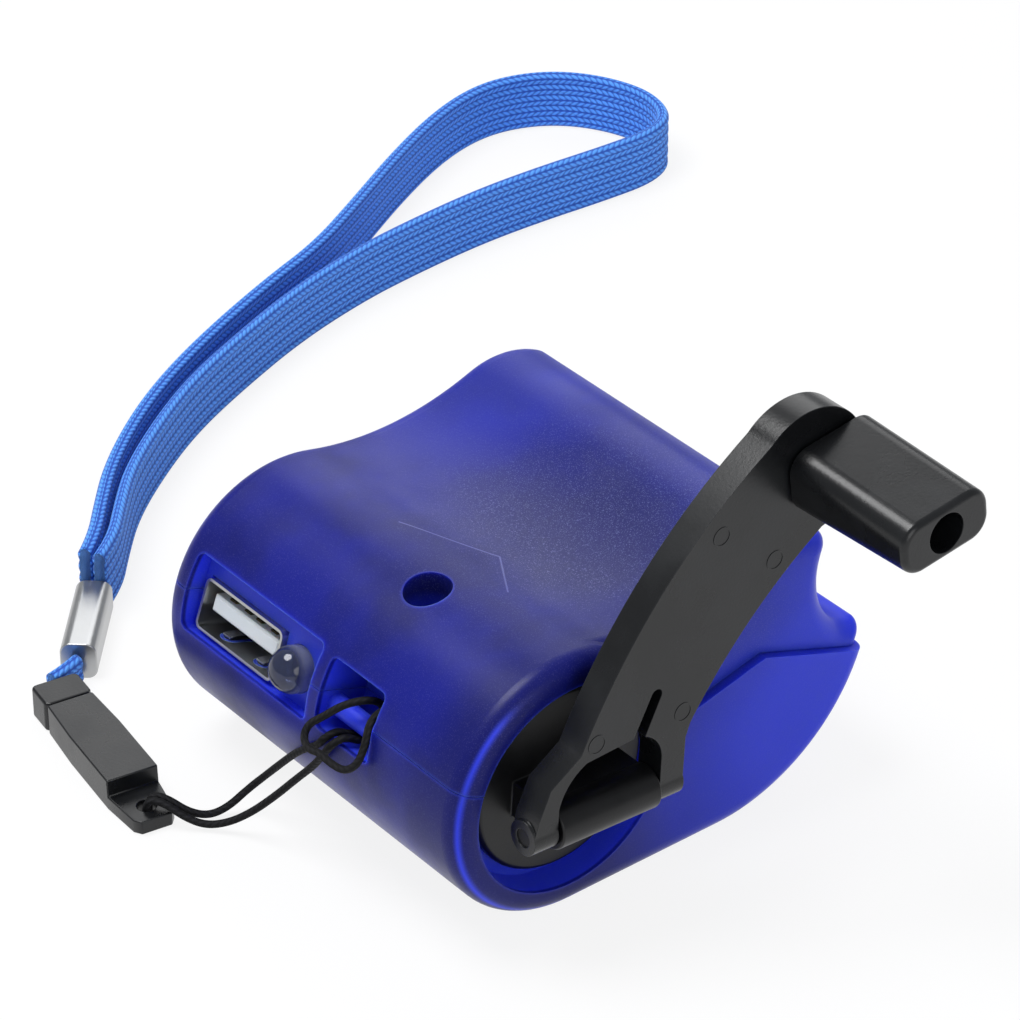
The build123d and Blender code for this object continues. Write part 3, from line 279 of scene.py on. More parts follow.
def braidEffect():
    # ribs of a flat braid with slanted stitches; Along and Across in metres
    tree, given, out = newEffect(
        "braid",
        [("Along", "NodeSocketFloat", 0.0), ("Across", "NodeSocketFloat", 0.0),
         ("Rib", "NodeSocketFloat", 0.00078), ("Stitch", "NodeSocketFloat", 0.0009)],
        [("Height", "NodeSocketFloat"), ("Groove", "NodeSocketFloat")],
    )
    place = calc(tree, "DIVIDE", given["Across"], given["Rib"])
    inRib = calc(tree, "FRACT", place)
    off = times(tree, calc(tree, "ABSOLUTE", calc(tree, "SUBTRACT", inRib, 0.5)), 2.0)
    lean = calc(tree, "PINGPONG", place, 1.0)
    row = calc(tree, "ADD", calc(tree, "DIVIDE", given["Along"], given["Stitch"]), lean)
    wave = calc(tree, "SINE", times(tree, row, 2 * math.pi))
    stitch = calc(tree, "MULTIPLY_ADD", wave, 0.5, 0.5)
    crown = calc(tree, "SUBTRACT", 1.0, times(tree, off, off))
    share = relief["stitchShare"]
    raised = calc(tree, "MULTIPLY_ADD", stitch, share, 1 - share)
    feed(tree, times(tree, crown, raised), out["Height"])
    feed(tree, ramp(tree, off, relief["grooveFrom"], 1.0), out["Groove"])
    return tree


effects = {"grain": grainEffect(), "edge": edgeEffect(), "braid": braidEffect()}


def useEffect(tree, name, **values):
    node = tree.nodes.new("ShaderNodeGroup")
    node.node_tree = effects[name]
    for label, value in values.items():
        feed(tree, value, node.inputs[label])
    return node.outputs


def newFinish(name, color, roughness, metallic=0.0, **more):
    material = bpy.data.materials.new(name)
    material.use_nodes = True
    shader = material.node_tree.nodes["Principled BSDF"]
    shader.inputs["Base Color"].default_value = color
    shader.inputs["Roughness"].default_value = roughness
    shader.inputs["Metallic"].default_value = metallic
    for label, value in more.items():
        shader.inputs[label.replace("_", " ")].default_value = value
    return material, material.node_tree, shader


def bump(tree, shader, height, depth):
    node = tree.nodes.new("ShaderNodeBump")
    node.inputs["Strength"].default_value = 1.0
    node.inputs["Distance"].default_value = depth
    feed(tree, height, node.inputs["Height"])
    link(tree, node.outputs["Normal"], shader.inputs["Normal"])


def places(tree):
    return tree.nodes.new("ShaderNodeTexCoord").outputs["Object"]


def grainyFinish(
        name, color, worn, roughness, metallic=0.0, fine=4000.0, depth=0.00001, **more):
    # a plain material with mould grain, clouded roughness and paler worn edges
    material, tree, shader = newFinish(name, color, roughness, metallic, **more)
    grain = useEffect(tree, "grain", Vector=places(tree), Fine=fine)
    rim = useEffect(tree, "edge")
    tint = blendColor(tree, times(tree, rim["Edge"], relief["edgeShare"]), color, worn)
    cloud = times(tree, grain["Wear"], relief["wearShare"])
    feed(tree, blendColor(tree, cloud, tint, worn), shader.inputs["Base Color"])
    low, high = roughness * relief["smoother"], roughness * relief["rougher"]
    feed(tree, ramp(tree, grain["Wear"], 0.0, 1.0, low, high), shader.inputs["Roughness"])
    bump(tree, shader, grain["Height"], depth)
    return material


def distanceTo(tree, vector, point):
    node = tree.nodes.new("ShaderNodeVectorMath")
    node.operation = "DISTANCE"
    feed(tree, vector, node.inputs[0])
    node.inputs[1].default_value = [v * mm for v in point]
    return node.outputs["Value"]


def fade(tree, value, span):
    # 1 at the first end of a span in mm and beyond it, 0 at the second
    full, none = (v * mm for v in span)
    return ramp(tree, value, none, full)


roundEnd = (-12.6, 0.0, 14.7)               # mm, the crank's axis, in the middle of the round end

shell = {                                   # places and widths in mm, a share from 0 to 1
    "deep": paint(21, 28, 130),
    "lit": paint(48, 66, 222),              # painted light, where light would come through thin walls
    "navyShadeAndClouds": paint(11, 14, 74),              # painted shade round the crank's collar, and slow random clouds
    "innerShade": paint(27, 31, 92),              # painted shade over the generator and the gears inside
    "paintedGlint": paint(128, 134, 196),          # painted glints of the frosted inner face, also the crease's painted highlight
    # a reach says where a tint is full and where it ends
    "beak": (24.0, -20.0, 8.0),
    "beakReach": (10.0, 38.0),
    "beakShare": 0.85,
    "hump": (16.0, 20.0, 30.0),
    "humpReach": (4.0, 24.0),
    "humpShare": 0.22,
    "collarSide": (-21.5, -15.0),           # along the crank's axis
    "collarRound": (-6.0, 4.0),             # away from the round end
    "collarShadeShare": 0.6,
    "blotchScale": 56.0,
    "blotchFrom": 0.42,
    "blotchTo": 0.62,
    "blotchShare": 0.6,
    "inside": (4.0, -7.0, 27.0),
    "insideReach": (12.0, 31.0),
    "innerShadeShare": 0.9,
    "cloudScale": 70.0,
    "cloudReach": 14.0,                     # what the cloud adds to the distance at most
    "noiseDetail": 3.0,
    "pocketRadius": (13.95, 14.35),         # nearer the axis is a pocket or the inside
    "pocketDepth": (23.8, 24.2),            # further out is a side face
    "pocketTop": (25.0, 27.5),
    "pocketGlowShare": 0.95,
    # the rounded edges get a painted highlight in the lit colour
    "edgeRadius": 0.6,
    "edgeShare": 0.3,
    "crease": [(-10.5, 6.0, 29.2), (-5.6, -4.1, 27.6), (-9.6, -10.4, 29.1)],
    "creaseWidth": 0.16,
    "creaseHeight": (24.0, 22.0),
    "creaseGlintShare": 0.45,
    "speckScale": 8200.0,
    "speckFrom": 0.56,
    "speckTo": 0.7,
    "speckShare": 0.08,
    "speckOverDark": 0.3,                   # more of it there
    "grainScale": 2600.0,
    "grainDepth": 0.012,
    "wearScale": 60.0,
    "roughness": 0.36,
    "roughnessSpan": (0.31, 0.42),          # over the slow clouds of wear
    "specular": 0.19,
    "scatter": 0.7,
    "scatterRadius": (0.2, 0.25, 1.0),      # red, green and blue, times the depth
    "scatterDepth": 4.0,
}


def lineMask(tree, spot, start, end, width):
    # 1 on the run from start to end, as seen from above
    flat = tree.nodes.new("ShaderNodeVectorMath")
    flat.operation = "MULTIPLY"
    feed(tree, spot, flat.inputs[0])
    flat.inputs[1].default_value = (1.0, 1.0, 0.0)
    a, b = (Vector((point[0] * mm, point[1] * mm, 0.0)) for point in (start, end))
    run = b - a
    away = tree.nodes.new("ShaderNodeVectorMath")
    away.operation = "SUBTRACT"
    feed(tree, flat.outputs[0], away.inputs[0])
    away.inputs[1].default_value = a
    along = tree.nodes.new("ShaderNodeVectorMath")
    along.operation = "DOT_PRODUCT"
    feed(tree, away.outputs[0], along.inputs[0])
    along.inputs[1].default_value = run / run.length_squared
    # kept between the ends of the run
    share = calc(tree, "MULTIPLY", along.outputs["Value"], 1.0, clamp=True)
    nearest = tree.nodes.new("ShaderNodeVectorMath")
    nearest.operation = "SCALE"
    nearest.inputs[0].default_value = run
    feed(tree, share, nearest.inputs["Scale"])
    gap = tree.nodes.new("ShaderNodeVectorMath")
    gap.operation = "DISTANCE"
    feed(tree, away.outputs[0], gap.inputs[0])
    feed(tree, nearest.outputs[0], gap.inputs[1])
    return ramp(tree, gap.outputs["Value"], width * mm, 0.0)


def shellFinish():
    material, tree, shader = newFinish("blueShell", shell["deep"], shell["roughness"])
    spot = places(tree)
    split = tree.nodes.new("ShaderNodeSeparateXYZ")
    link(tree, spot, split.inputs[0])
    x, y, z = split.outputs

    # painted light: the lit colour glows in at the beak and on the hump
    beak = fade(tree, distanceTo(tree, spot, shell["beak"]), shell["beakReach"])
    hump = fade(tree, distanceTo(tree, spot, shell["hump"]), shell["humpReach"])
    beak, hump = times(tree, beak, shell["beakShare"]), times(tree, hump, shell["humpShare"])
    lit = calc(tree, "MAXIMUM", beak, hump)
    # painted shade: the near side of the round end, round the crank, darkened to navy
    collarShade = times(tree, fade(tree, y, shell["collarSide"]), fade(tree, x, shell["collarRound"]))
    blotch = noise(tree, spot, shell["blotchScale"], shell["noiseDetail"])
    blotch = ramp(tree, blotch, shell["blotchFrom"], shell["blotchTo"])
    shadeAndClouds = calc(
        tree, "MAXIMUM", times(tree, collarShade, shell["collarShadeShare"]),
        times(tree, blotch, shell["blotchShare"]))
    # painted shade of the parts inside, with a cloudy edge
    cloud = noise(tree, spot, shell["cloudScale"], shell["noiseDetail"])
    reach = calc(
        tree, "ADD", distanceTo(tree, spot, shell["inside"]),
        times(tree, cloud, shell["cloudReach"] * mm))
    innerShade = fade(tree, reach, shell["insideReach"])

    # painted light: pocket walls glow lit blue, near the axis, in from the side faces and below the
    # top
    fromSide = tree.nodes.new("ShaderNodeVectorMath")
    fromSide.operation = "MULTIPLY"
    feed(tree, spot, fromSide.inputs[0])
    fromSide.inputs[1].default_value = (1.0, 0.0, 1.0)
    inner = fade(tree, distanceTo(tree, fromSide.outputs[0], roundEnd), shell["pocketRadius"])
    behind = fade(tree, calc(tree, "ABSOLUTE", y), shell["pocketDepth"])
    pocket = times(tree, times(tree, inner, behind), fade(tree, z, shell["pocketTop"]))
    # painted highlight: rounded edges glow in the lit colour
    edge = useEffect(tree, "edge", Radius=shell["edgeRadius"] * mm)["Edge"]
    # painted highlight: a pale line along the crease on the top
    start, corner, end = shell["crease"]
    crease = calc(
        tree, "MAXIMUM", lineMask(tree, spot, start, corner, shell["creaseWidth"]),
        lineMask(tree, spot, corner, end, shell["creaseWidth"]))
    crease = times(tree, crease, fade(tree, z, shell["creaseHeight"]))
    # painted glints: fine pale specks, more of them in the painted inner shade
    glintSpeck = ramp(
        tree, noise(tree, spot, shell["speckScale"], 1.0, 0.4), shell["speckFrom"], shell["speckTo"])
    glintSpecks = calc(tree, "MULTIPLY_ADD", innerShade, shell["speckOverDark"], shell["speckShare"])

    color = blendColor(tree, shadeAndClouds, shell["deep"], shell["navyShadeAndClouds"])
    for share, tint in (
        (lit, "lit"),
        (times(tree, innerShade, shell["innerShadeShare"]), "innerShade"),
        (times(tree, pocket, shell["pocketGlowShare"]), "lit"),
        (times(tree, edge, shell["edgeShare"]), "lit"),
        (times(tree, crease, shell["creaseGlintShare"]), "paintedGlint"),
        (times(tree, glintSpeck, glintSpecks), "paintedGlint"),
    ):
        color = blendColor(tree, share, color, shell[tint])
    feed(tree, color, shader.inputs["Base Color"])
    grain = useEffect(
        tree, "grain", Vector=spot, Fine=shell["grainScale"], Cloud=shell["wearScale"])
    rough = ramp(tree, grain["Wear"], 0.0, 1.0, *shell["roughnessSpan"])
    feed(tree, rough, shader.inputs["Roughness"])
    bump(tree, shader, grain["Height"], shell["grainDepth"] * mm)
    shader.inputs["Specular IOR Level"].default_value = shell["specular"]
    shader.inputs["Subsurface Weight"].default_value = shell["scatter"]
    shader.inputs["Subsurface Radius"].default_value = shell["scatterRadius"]
    shader.inputs["Subsurface Scale"].default_value = shell["scatterDepth"] * mm
    return material


lens = {                                    # lengths in mm
    "tip": (-27.57, 4.6, 19.19),
    "body": paint(66, 76, 116),
    # a painted highlight ring towards the dome's rim
    "rim": paint(196, 204, 228),
    "rimFrom": 2.5,                         # from the tip
    "rimTo": 3.5,
    "roughness": 0.04,
    "clear": 0.75,
    "ior": 1.5,
    "grainScale": 1500.0,
    "grainDepth": 0.006,
}


def lensFinish():
    # clear resin, with a painted highlight ring paler towards the dome's rim
    material, tree, shader = newFinish("lampLens", lens["body"], lens["roughness"])
    shader.inputs["Transmission Weight"].default_value = lens["clear"]
    shader.inputs["IOR"].default_value = lens["ior"]
    spot = places(tree)
    fromTip = distanceTo(tree, spot, lens["tip"])
    rim = ramp(tree, fromTip, lens["rimFrom"] * mm, lens["rimTo"] * mm)
    feed(tree, blendColor(tree, rim, lens["body"], lens["rim"]), shader.inputs["Base Color"])
    grain = useEffect(tree, "grain", Vector=spot, Fine=lens["grainScale"])
    bump(tree, shader, grain["Height"], lens["grainDepth"] * mm)
    return material


strap = {                                   # lengths in mm
    "route": [
        (-20.2, 47.3), (-16.7, 49.6), (-12.7, 54.2), (-7.3, 59.9), (0.8, 65.9), (8.4, 70.6),
        (17.1, 74.6), (29.9, 79.6), (41.9, 82.6), (51.6, 83.8), (61.8, 84.5), (71.2, 84.2),
        (80.2, 83.4), (88.2, 83.1), (92.6, 85.4), (94.3, 91.0), (92.6, 97.2), (89.0, 102.2),
        (84.0, 105.1), (78.0, 105.9), (70.1, 103.8), (59.8, 98.8), (48.4, 92.2), (38.6, 86.8),
        (28.4, 83.2), (17.0, 78.4), (7.4, 73.6), (-0.9, 68.3), (-8.9, 61.7), (-14.4, 55.6),
        (-18.0, 51.4), (-20.9, 49.0),
    ],
    "tail": [(-29.5, 38.1), (-31.2, 37.4), (-33.6, 36.9)],
    "tailHeight": 3.6,
    "width": 7.8,
    "thickness": 1.5,
    "length": 269.0,
    "ribs": 5,
    "ribDepth": 0.16,
    "tailRibs": 2,
    "perRib": 8,                            # points of the profile on each rib
    "step": 0.8,                            # along the route
    "tailStep": 0.4,
    "stitchWidth": 0.78,
    "stitchLength": 0.86,
    "stitchDepth": 0.12,
    "color": paint(88, 160, 252),
    "shade": paint(30, 76, 176),
    "shadeTone": 0.1,                       # from the shade at this tone to the color at the next
    "colorTone": 0.75,
    "fibreScale": 3500.0,
    "fibreTone": (0.5, 0.7),                # times the fibre, plus this
    "fibreDepth": 0.2,                      # of the stitch
    "roughness": 0.85,
    "sheen": 0.5,
    "sheenRoughness": 0.4,
    "sheenTint": paint(150, 190, 255),
}

cord = {                                    # lengths in mm
    "route": [
        (-37.1, 14.0, 0.7), (-37.1, 14.0, 2.0), (-36.7, 13.4, 2.9), (-35.8, 12.1, 2.6),
        (-34.6, 10.6, 1.4), (-32.8, 9.6, 0.6), (-30.6, 9.2, 0.9), (-28.4, 8.6, 2.6),
        (-27.3, 6.2, 5.6), (-27.5, 3.0, 9.1), (-27.8, 0.2, 12.0), (-27.9, -3.1, 14.6),
        (-27.9, -4.2, 16.1), (-26.7, -4.8, 16.8), (-25.2, -5.2, 15.8), (-23.1, -5.9, 16.0),
        (-22.2, -6.5, 18.1), (-22.9, -7.0, 19.8), (-24.6, -6.9, 20.8), (-26.4, -5.6, 20.3),
        (-27.4, -3.5, 18.1), (-28.3, -2.0, 16.7), (-29.2, -2.4, 15.5), (-29.5, -3.9, 15.2),
        (-29.4, -5.4, 15.7), (-29.3, -6.9, 15.3), (-28.9, -8.8, 15.1), (-28.3, -10.2, 16.4),
        (-27.5, -10.5, 18.7), (-26.3, -9.6, 20.4), (-24.2, -9.1, 20.7), (-22.7, -8.6, 19.5),
        (-22.4, -8.0, 17.5), (-23.2, -7.2, 15.9), (-25.2, -6.5, 15.8), (-26.7, -6.1, 16.8),
        (-27.9, -5.5, 16.1), (-28.1, -4.4, 14.4), (-27.8, -2.2, 11.5), (-28.3, 0.1, 8.8),
        (-29.3, 2.4, 5.8), (-30.7, 4.7, 3.0), (-32.3, 6.7, 1.2), (-34.0, 8.5, 0.6),
        (-35.5, 10.1, 1.5), (-36.5, 11.6, 2.6), (-37.4, 12.9, 2.9), (-37.8, 13.5, 2.0),
        (-37.8, 13.5, 0.7),
    ],
    "exit": (-27.3, -4.5, 16.4),            # at the bar in the case
    "diameter": 0.8,
    "length": 109.0,
    "step": 0.3,                            # along the route
    "sides": 14,
    "ribs": 4,                              # round the cord
    "stitchLength": 0.8,
    "stitchDepth": 0.08,
    "color": paint(24, 24, 27),
    # painted shade in the braid's grooves, lighter on the crowns
    "grooveShade": paint(7, 7, 8),
    "crown": paint(32, 32, 35),
    "roughness": 0.75,
    "specular": 0.2,
}


def braidOn(tree, rib, stitch):
    # the braid of a swept piece, whose UV map is metres along and around it
    uv = tree.nodes.new("ShaderNodeSeparateXYZ")
    link(tree, tree.nodes.new("ShaderNodeTexCoord").outputs["UV"], uv.inputs[0])
    return useEffect(
        tree, "braid", Along=uv.outputs[0], Across=uv.outputs[1], Rib=rib * mm, Stitch=stitch * mm)


def strapFinish():
    material, tree, shader = newFinish("blueBraid", strap["color"], strap["roughness"])
    shader.inputs["Sheen Weight"].default_value = strap["sheen"]
    shader.inputs["Sheen Roughness"].default_value = strap["sheenRoughness"]
    shader.inputs["Sheen Tint"].default_value = strap["sheenTint"]
    braid = braidOn(tree, strap["stitchWidth"], strap["stitchLength"])
    fibre = noise(tree, places(tree), strap["fibreScale"], 3.0, 0.7)
    tone = times(tree, calc(tree, "MULTIPLY_ADD", fibre, *strap["fibreTone"]), braid["Height"])
    share = ramp(tree, tone, strap["shadeTone"], strap["colorTone"])
    color = blendColor(tree, share, strap["shade"], strap["color"])
    feed(tree, color, shader.inputs["Base Color"])
    height = calc(tree, "MULTIPLY_ADD", fibre, strap["fibreDepth"], braid["Height"])
    bump(tree, shader, height, strap["stitchDepth"] * mm)
    return material


def cordFinish():
    material, tree, shader = newFinish("blackCord", cord["color"], cord["roughness"])
    shader.inputs["Specular IOR Level"].default_value = cord["specular"]
    braid = braidOn(tree, cord["diameter"] * math.pi / cord["ribs"], cord["stitchLength"])
    color = blendColor(tree, braid["Height"], cord["grooveShade"], cord["crown"])
    feed(tree, color, shader.inputs["Base Color"])
    bump(tree, shader, braid["Height"], cord["stitchDepth"] * mm)
    return material


finishes = {
    "blue_plastic": shellFinish(),
    "black_plastic": grainyFinish(
        "blackPlastic", paint(13, 14, 16), paint(46, 48, 51), 0.3, fine=3000.0, depth=0.000012,
        Specular_IOR_Level=0.4),
    "white_plastic": grainyFinish(
        "whiteNylon", paint(205, 208, 212), paint(225, 226, 228), 0.5, Subsurface_Weight=0.1),
    "gear_plastic": grainyFinish("acetal", paint(226, 222, 208), paint(238, 236, 226), 0.45),
    "led_lens": lensFinish(),
    "steel": grainyFinish(
        "zincSteel", paint(150, 152, 156), paint(205, 206, 208), 0.34, 0.9, fine=1500.0),
    "nickel": grainyFinish(
        "nickelPlate", paint(172, 173, 174), paint(212, 212, 210), 0.32, 1.0, fine=1200.0),
    "magnet": grainyFinish("ferrite", paint(58, 58, 62), paint(92, 92, 96), 0.6, 0.3),
    "brass": grainyFinish("brassPlate", paint(196, 158, 84), paint(224, 196, 132), 0.3, 0.95),
    "copper_wire": grainyFinish(
        "enamelledCopper", paint(158, 84, 46), paint(196, 120, 74), 0.32, 0.8),
    "circuit_board": grainyFinish("solderMask", paint(18, 84, 44), paint(44, 118, 70), 0.4),
    "dark_component": grainyFinish("blackResin", paint(26, 26, 28), paint(58, 58, 60), 0.55),
    "capacitor_sleeve": grainyFinish("shrinkSleeve", paint(28, 32, 52), paint(62, 68, 92), 0.35),
    "wire_sleeve": grainyFinish("wireSleeve", paint(150, 22, 22), paint(186, 60, 52), 0.5),
    "blue_braid": strapFinish(),
    "black_cord": cordFinish(),
}
slots = {entry["node"]: entry["material_slot"] for entry in frame["record"]["subparts"]}
ownFinishes = {                             # nodes that look unlike the rest of their slot
    "hinge_pin": grainyFinish(
        "blackenedPin", paint(20, 20, 22), paint(60, 60, 62), 0.5, 0.4),
    # painted shade: the hub's black is a little darker, as it sits in its recess
    "crank_hub": grainyFinish(
        "shadedHubPlastic", paint(10, 10, 12), paint(34, 35, 37), 0.36, fine=3000.0,
        Specular_IOR_Level=0.32),
    # painted shade: the contacts darkened, as they lie in slots in the tongue
    "usb_contacts": grainyFinish(
        "shadedContacts", paint(58, 52, 40), paint(120, 104, 70), 0.45, 0.7),
}
for name, node in nodes.items():
    node.data.materials.clear()
    node.data.materials.append(ownFinishes.get(name, finishes[slots[name]]))
print("finishes made:", len(finishes))

# the cord and the strap, swept along their routes


def shapeTree(name, **inputs):
    # a geometry tree with geometry in and out, and named inputs of the kinds given
    tree = bpy.data.node_groups.new(name, "GeometryNodeTree")
    for label, kind in {"Geometry": "Geometry", **inputs}.items():
        tree.interface.new_socket(label, in_out="INPUT", socket_type="NodeSocket" + kind)
    tree.interface.new_socket("Geometry", in_out="OUTPUT", socket_type="NodeSocketGeometry")
    return tree, tree.nodes.new("NodeGroupInput").outputs, tree.nodes.new("NodeGroupOutput").inputs


def finishTree(tree, geometry, given, out):
    # real meshes, in their finish
    real = tree.nodes.new("GeometryNodeRealizeInstances")
    link(tree, geometry, real.inputs[0])
    dress = tree.nodes.new("GeometryNodeSetMaterial")
    link(tree, real.outputs[0], dress.inputs["Geometry"])
    link(tree, given["Finish"], dress.inputs["Material"])
    link(tree, dress.outputs[0], out[0])


def applyTree(carrier, tree, **values):
    # the sockets are set by their identifiers, before the carrier is first evaluated
    modifier = carrier.modifiers.new(tree.name, "NODES")
    modifier.node_group = tree
    for item in tree.interface.items_tree:
        if item.in_out == "INPUT" and item.name in values:
            modifier[item.identifier] = values[item.name]


def sweepTree():
    # sweeps a profile along a route and writes metres along and around into the UV map
    tree, given, out = shapeTree(
        "sweptBand", Profile="Object", Step="Float", Around="Float", Finish="Material")
    steps = tree.nodes.new("GeometryNodeResampleCurve")
    steps.mode = "LENGTH"
    link(tree, given["Geometry"], steps.inputs["Curve"])
    link(tree, given["Step"], steps.inputs["Length"])
    upright = tree.nodes.new("GeometryNodeSetCurveNormal")
    upright.mode = "Z_UP"
    link(tree, steps.outputs[0], upright.inputs["Curve"])
    along = tree.nodes.new("GeometryNodeCaptureAttribute")
    around = tree.nodes.new("GeometryNodeCaptureAttribute")
    for node, measure in ((along, "Length"), (around, "Factor")):
        node.capture_items.new("FLOAT", "Value")
        place = tree.nodes.new("GeometryNodeSplineParameter")
        link(tree, place.outputs[measure], node.inputs[1])
    link(tree, upright.outputs[0], along.inputs[0])
    profile = tree.nodes.new("GeometryNodeObjectInfo")
    link(tree, given["Profile"], profile.inputs["Object"])
    link(tree, profile.outputs["Geometry"], around.inputs[0])
    sweep = tree.nodes.new("GeometryNodeCurveToMesh")
    link(tree, along.outputs[0], sweep.inputs["Curve"])
    link(tree, around.outputs[0], sweep.inputs["Profile Curve"])
    measured = tree.nodes.new("ShaderNodeMath")
    measured.operation = "MULTIPLY"
    link(tree, around.outputs[1], measured.inputs[0])
    link(tree, given["Around"], measured.inputs[1])
    pair = tree.nodes.new("ShaderNodeCombineXYZ")
    link(tree, along.outputs[1], pair.inputs[0])
    link(tree, measured.outputs[0], pair.inputs[1])
    store = tree.nodes.new("GeometryNodeStoreNamedAttribute")
    store.data_type, store.domain = "FLOAT2", "CORNER"
    store.inputs["Name"].default_value = "UVMap"
    link(tree, sweep.outputs[0], store.inputs["Geometry"])
    link(tree, pair.outputs[0], store.inputs["Value"])
    weld = tree.nodes.new("GeometryNodeMergeByDistance")
    weld.inputs["Distance"].default_value = 0.001 * mm     # closes the seam round the profile
    link(tree, store.outputs[0], weld.inputs["Geometry"])
    smooth = tree.nodes.new("GeometryNodeSetShadeSmooth")
    link(tree, weld.outputs[0], smooth.inputs["Geometry"])
    finishTree(tree, smooth.outputs[0], given, out)
    return tree


def routeCurve(name, points):
    curve = bpy.data.curves.new(name, "CURVE")
    curve.dimensions = "3D"
    curve.resolution_u = 12
    spline = curve.splines.new("NURBS")
    spline.points.add(len(points) - 1)
    for place, point in zip(spline.points, points):
        place.co = (*[v * mm for v in point], 1.0)
    spline.order_u = 3
    spline.use_endpoint_u = True
    made = bpy.data.objects.new(name, curve)
    scene.collection.objects.link(made)
    return made


def profileCurve(name, points):
    curve = bpy.data.curves.new(name, "CURVE")
    curve.dimensions = "3D"
    spline = curve.splines.new("POLY")
    spline.points.add(len(points) - 1)
    for place, point in zip(spline.points, points):
        place.co = (point[0] * mm, point[1] * mm, 0.0, 1.0)
    made = bpy.data.objects.new(name, curve)
    scene.collection.objects.link(made)
    return made


def settle(source, name):
    # the modified shape as a plain mesh of its own, closed and facing out
    graph = bpy.context.evaluated_depsgraph_get()
    mesh = bpy.data.meshes.new_from_object(source.evaluated_get(graph), depsgraph=graph)
    mesh.name = name
    bpy.data.objects.remove(source)
    work = bmesh.new()
    work.from_mesh(mesh)
    bmesh.ops.holes_fill(work, edges=[e for e in work.edges if e.is_boundary])
    bmesh.ops.recalc_face_normals(work, faces=work.faces)
    work.to_mesh(mesh)
    work.free()
    piece = bpy.data.objects.new(name, mesh)
    scene.collection.objects.link(piece)
    return piece


def centreline(points):
    route = routeCurve("centreline", points)
    graph = bpy.context.evaluated_depsgraph_get()
    mesh = bpy.data.meshes.new_from_object(route.evaluated_get(graph), depsgraph=graph)
    path = [tuple(v.co) for v in mesh.vertices]
    bpy.data.objects.remove(route)
    bpy.data.meshes.remove(mesh)
    return path


bandTree = sweepTree()


def sweep(name, points, profile, step, finish):
    around = sum(math.dist(a, b) for a, b in zip(profile, profile[1:])) * mm
    outline = profileCurve(name + "Outline", profile)
    route = routeCurve(name + "Route", points)
    applyTree(route, bandTree, Profile=outline, Step=step * mm, Around=around, Finish=finish)
    piece = settle(route, name)
    bpy.data.objects.remove(outline)
    return piece


def bandProfile(width, ribs):
    # one face from edge to edge with its ribs, then the other face back
    half, ribDepth = strap["thickness"] / 2, strap["ribDepth"]
    face = []
    count = ribs * strap["perRib"]
    for number in range(count + 1):
        share = number / count
        across = (share - 0.5) * width
        rib = abs(math.sin(share * ribs * math.pi))
        ends = min(share, 1 - share) * width
        swell = min(1.0, ends / half)
        edge = math.sqrt(max(0.0, 1 - (1 - swell) ** 2))
        face.append((edge * (half - ribDepth * (1 - rib)), across))
    back = [(-x, y) for x, y in reversed(face)]
    loop = face + back[1:]
    loop[-1] = loop[0]
    return loop


def circleProfile(radius, count):
    turn = [2 * math.pi * number / count for number in range(count + 1)]
    loop = [(radius * math.cos(a), radius * math.sin(a)) for a in turn]
    loop[-1] = loop[0]
    return loop


cordProfile = circleProfile(cord["diameter"] / 2, cord["sides"])
lanyard = sweep("lanyardCord", cord["route"], cordProfile, cord["step"], finishes["black_cord"])
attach(lanyard, "case")
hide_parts("lanyard_cord")

strapPath = [(x, y, strap["width"] / 2) for x, y in strap["route"]]
strapProfile = bandProfile(strap["width"], strap["ribs"])
wristStrap = sweep("wristStrap", strapPath, strapProfile, strap["step"], finishes["blue_braid"])
tailPath = [(x, y, strap["tailHeight"] / 2) for x, y in strap["tail"]]
tailProfile = bandProfile(strap["tailHeight"], strap["tailRibs"])
strapTail = sweep("strapTail", tailPath, tailProfile, strap["tailStep"], finishes["blue_braid"])
for piece in (wristStrap, strapTail):
    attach(piece, "case")
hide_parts("wrist_strap")
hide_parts("wrist_strap")
print("cord and strap swept")

# moulded pieces with their edges broken

softening = {
    "weld": 0.002,                          # mm
    "flatAngle": 1.0,                       # degrees, up to which facets join
    "brokenAngle": 34.0,                    # from which an edge is broken
    "sharpAngle": 38.0,                     # from which the shading stays sharp
    "segments": 3,
}


def brokenEdges(node, name, width):
    # a copy of a CAD node, welded, with a soft edge
    source = nodes[node].copy()
    source.data = nodes[node].data.copy()
    scene.collection.objects.link(source)
    work = bmesh.new()
    work.from_mesh(source.data)
    bmesh.ops.remove_doubles(work, verts=work.verts, dist=softening["weld"] * mm)
    bmesh.ops.dissolve_limit(
        work, angle_limit=math.radians(softening["flatAngle"]), verts=work.verts, edges=work.edges)
    work.to_mesh(source.data)
    work.free()
    modifier = source.modifiers.new("softEdge", "BEVEL")
    modifier.width = width * mm
    modifier.segments = softening["segments"]
    modifier.limit_method = "ANGLE"
    modifier.angle_limit = math.radians(softening["brokenAngle"])
    modifier.use_clamp_overlap = True
    piece = settle(source, name)
    piece.data.shade_smooth()
    piece.data.set_sharp_from_angle(angle=math.radians(softening["sharpAngle"]))
    flat = piece.modifiers.new("flatFaces", "WEIGHTED_NORMAL")
    flat.keep_sharp = True
    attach(piece, bodyOf[node])
    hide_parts(node)
    return piece


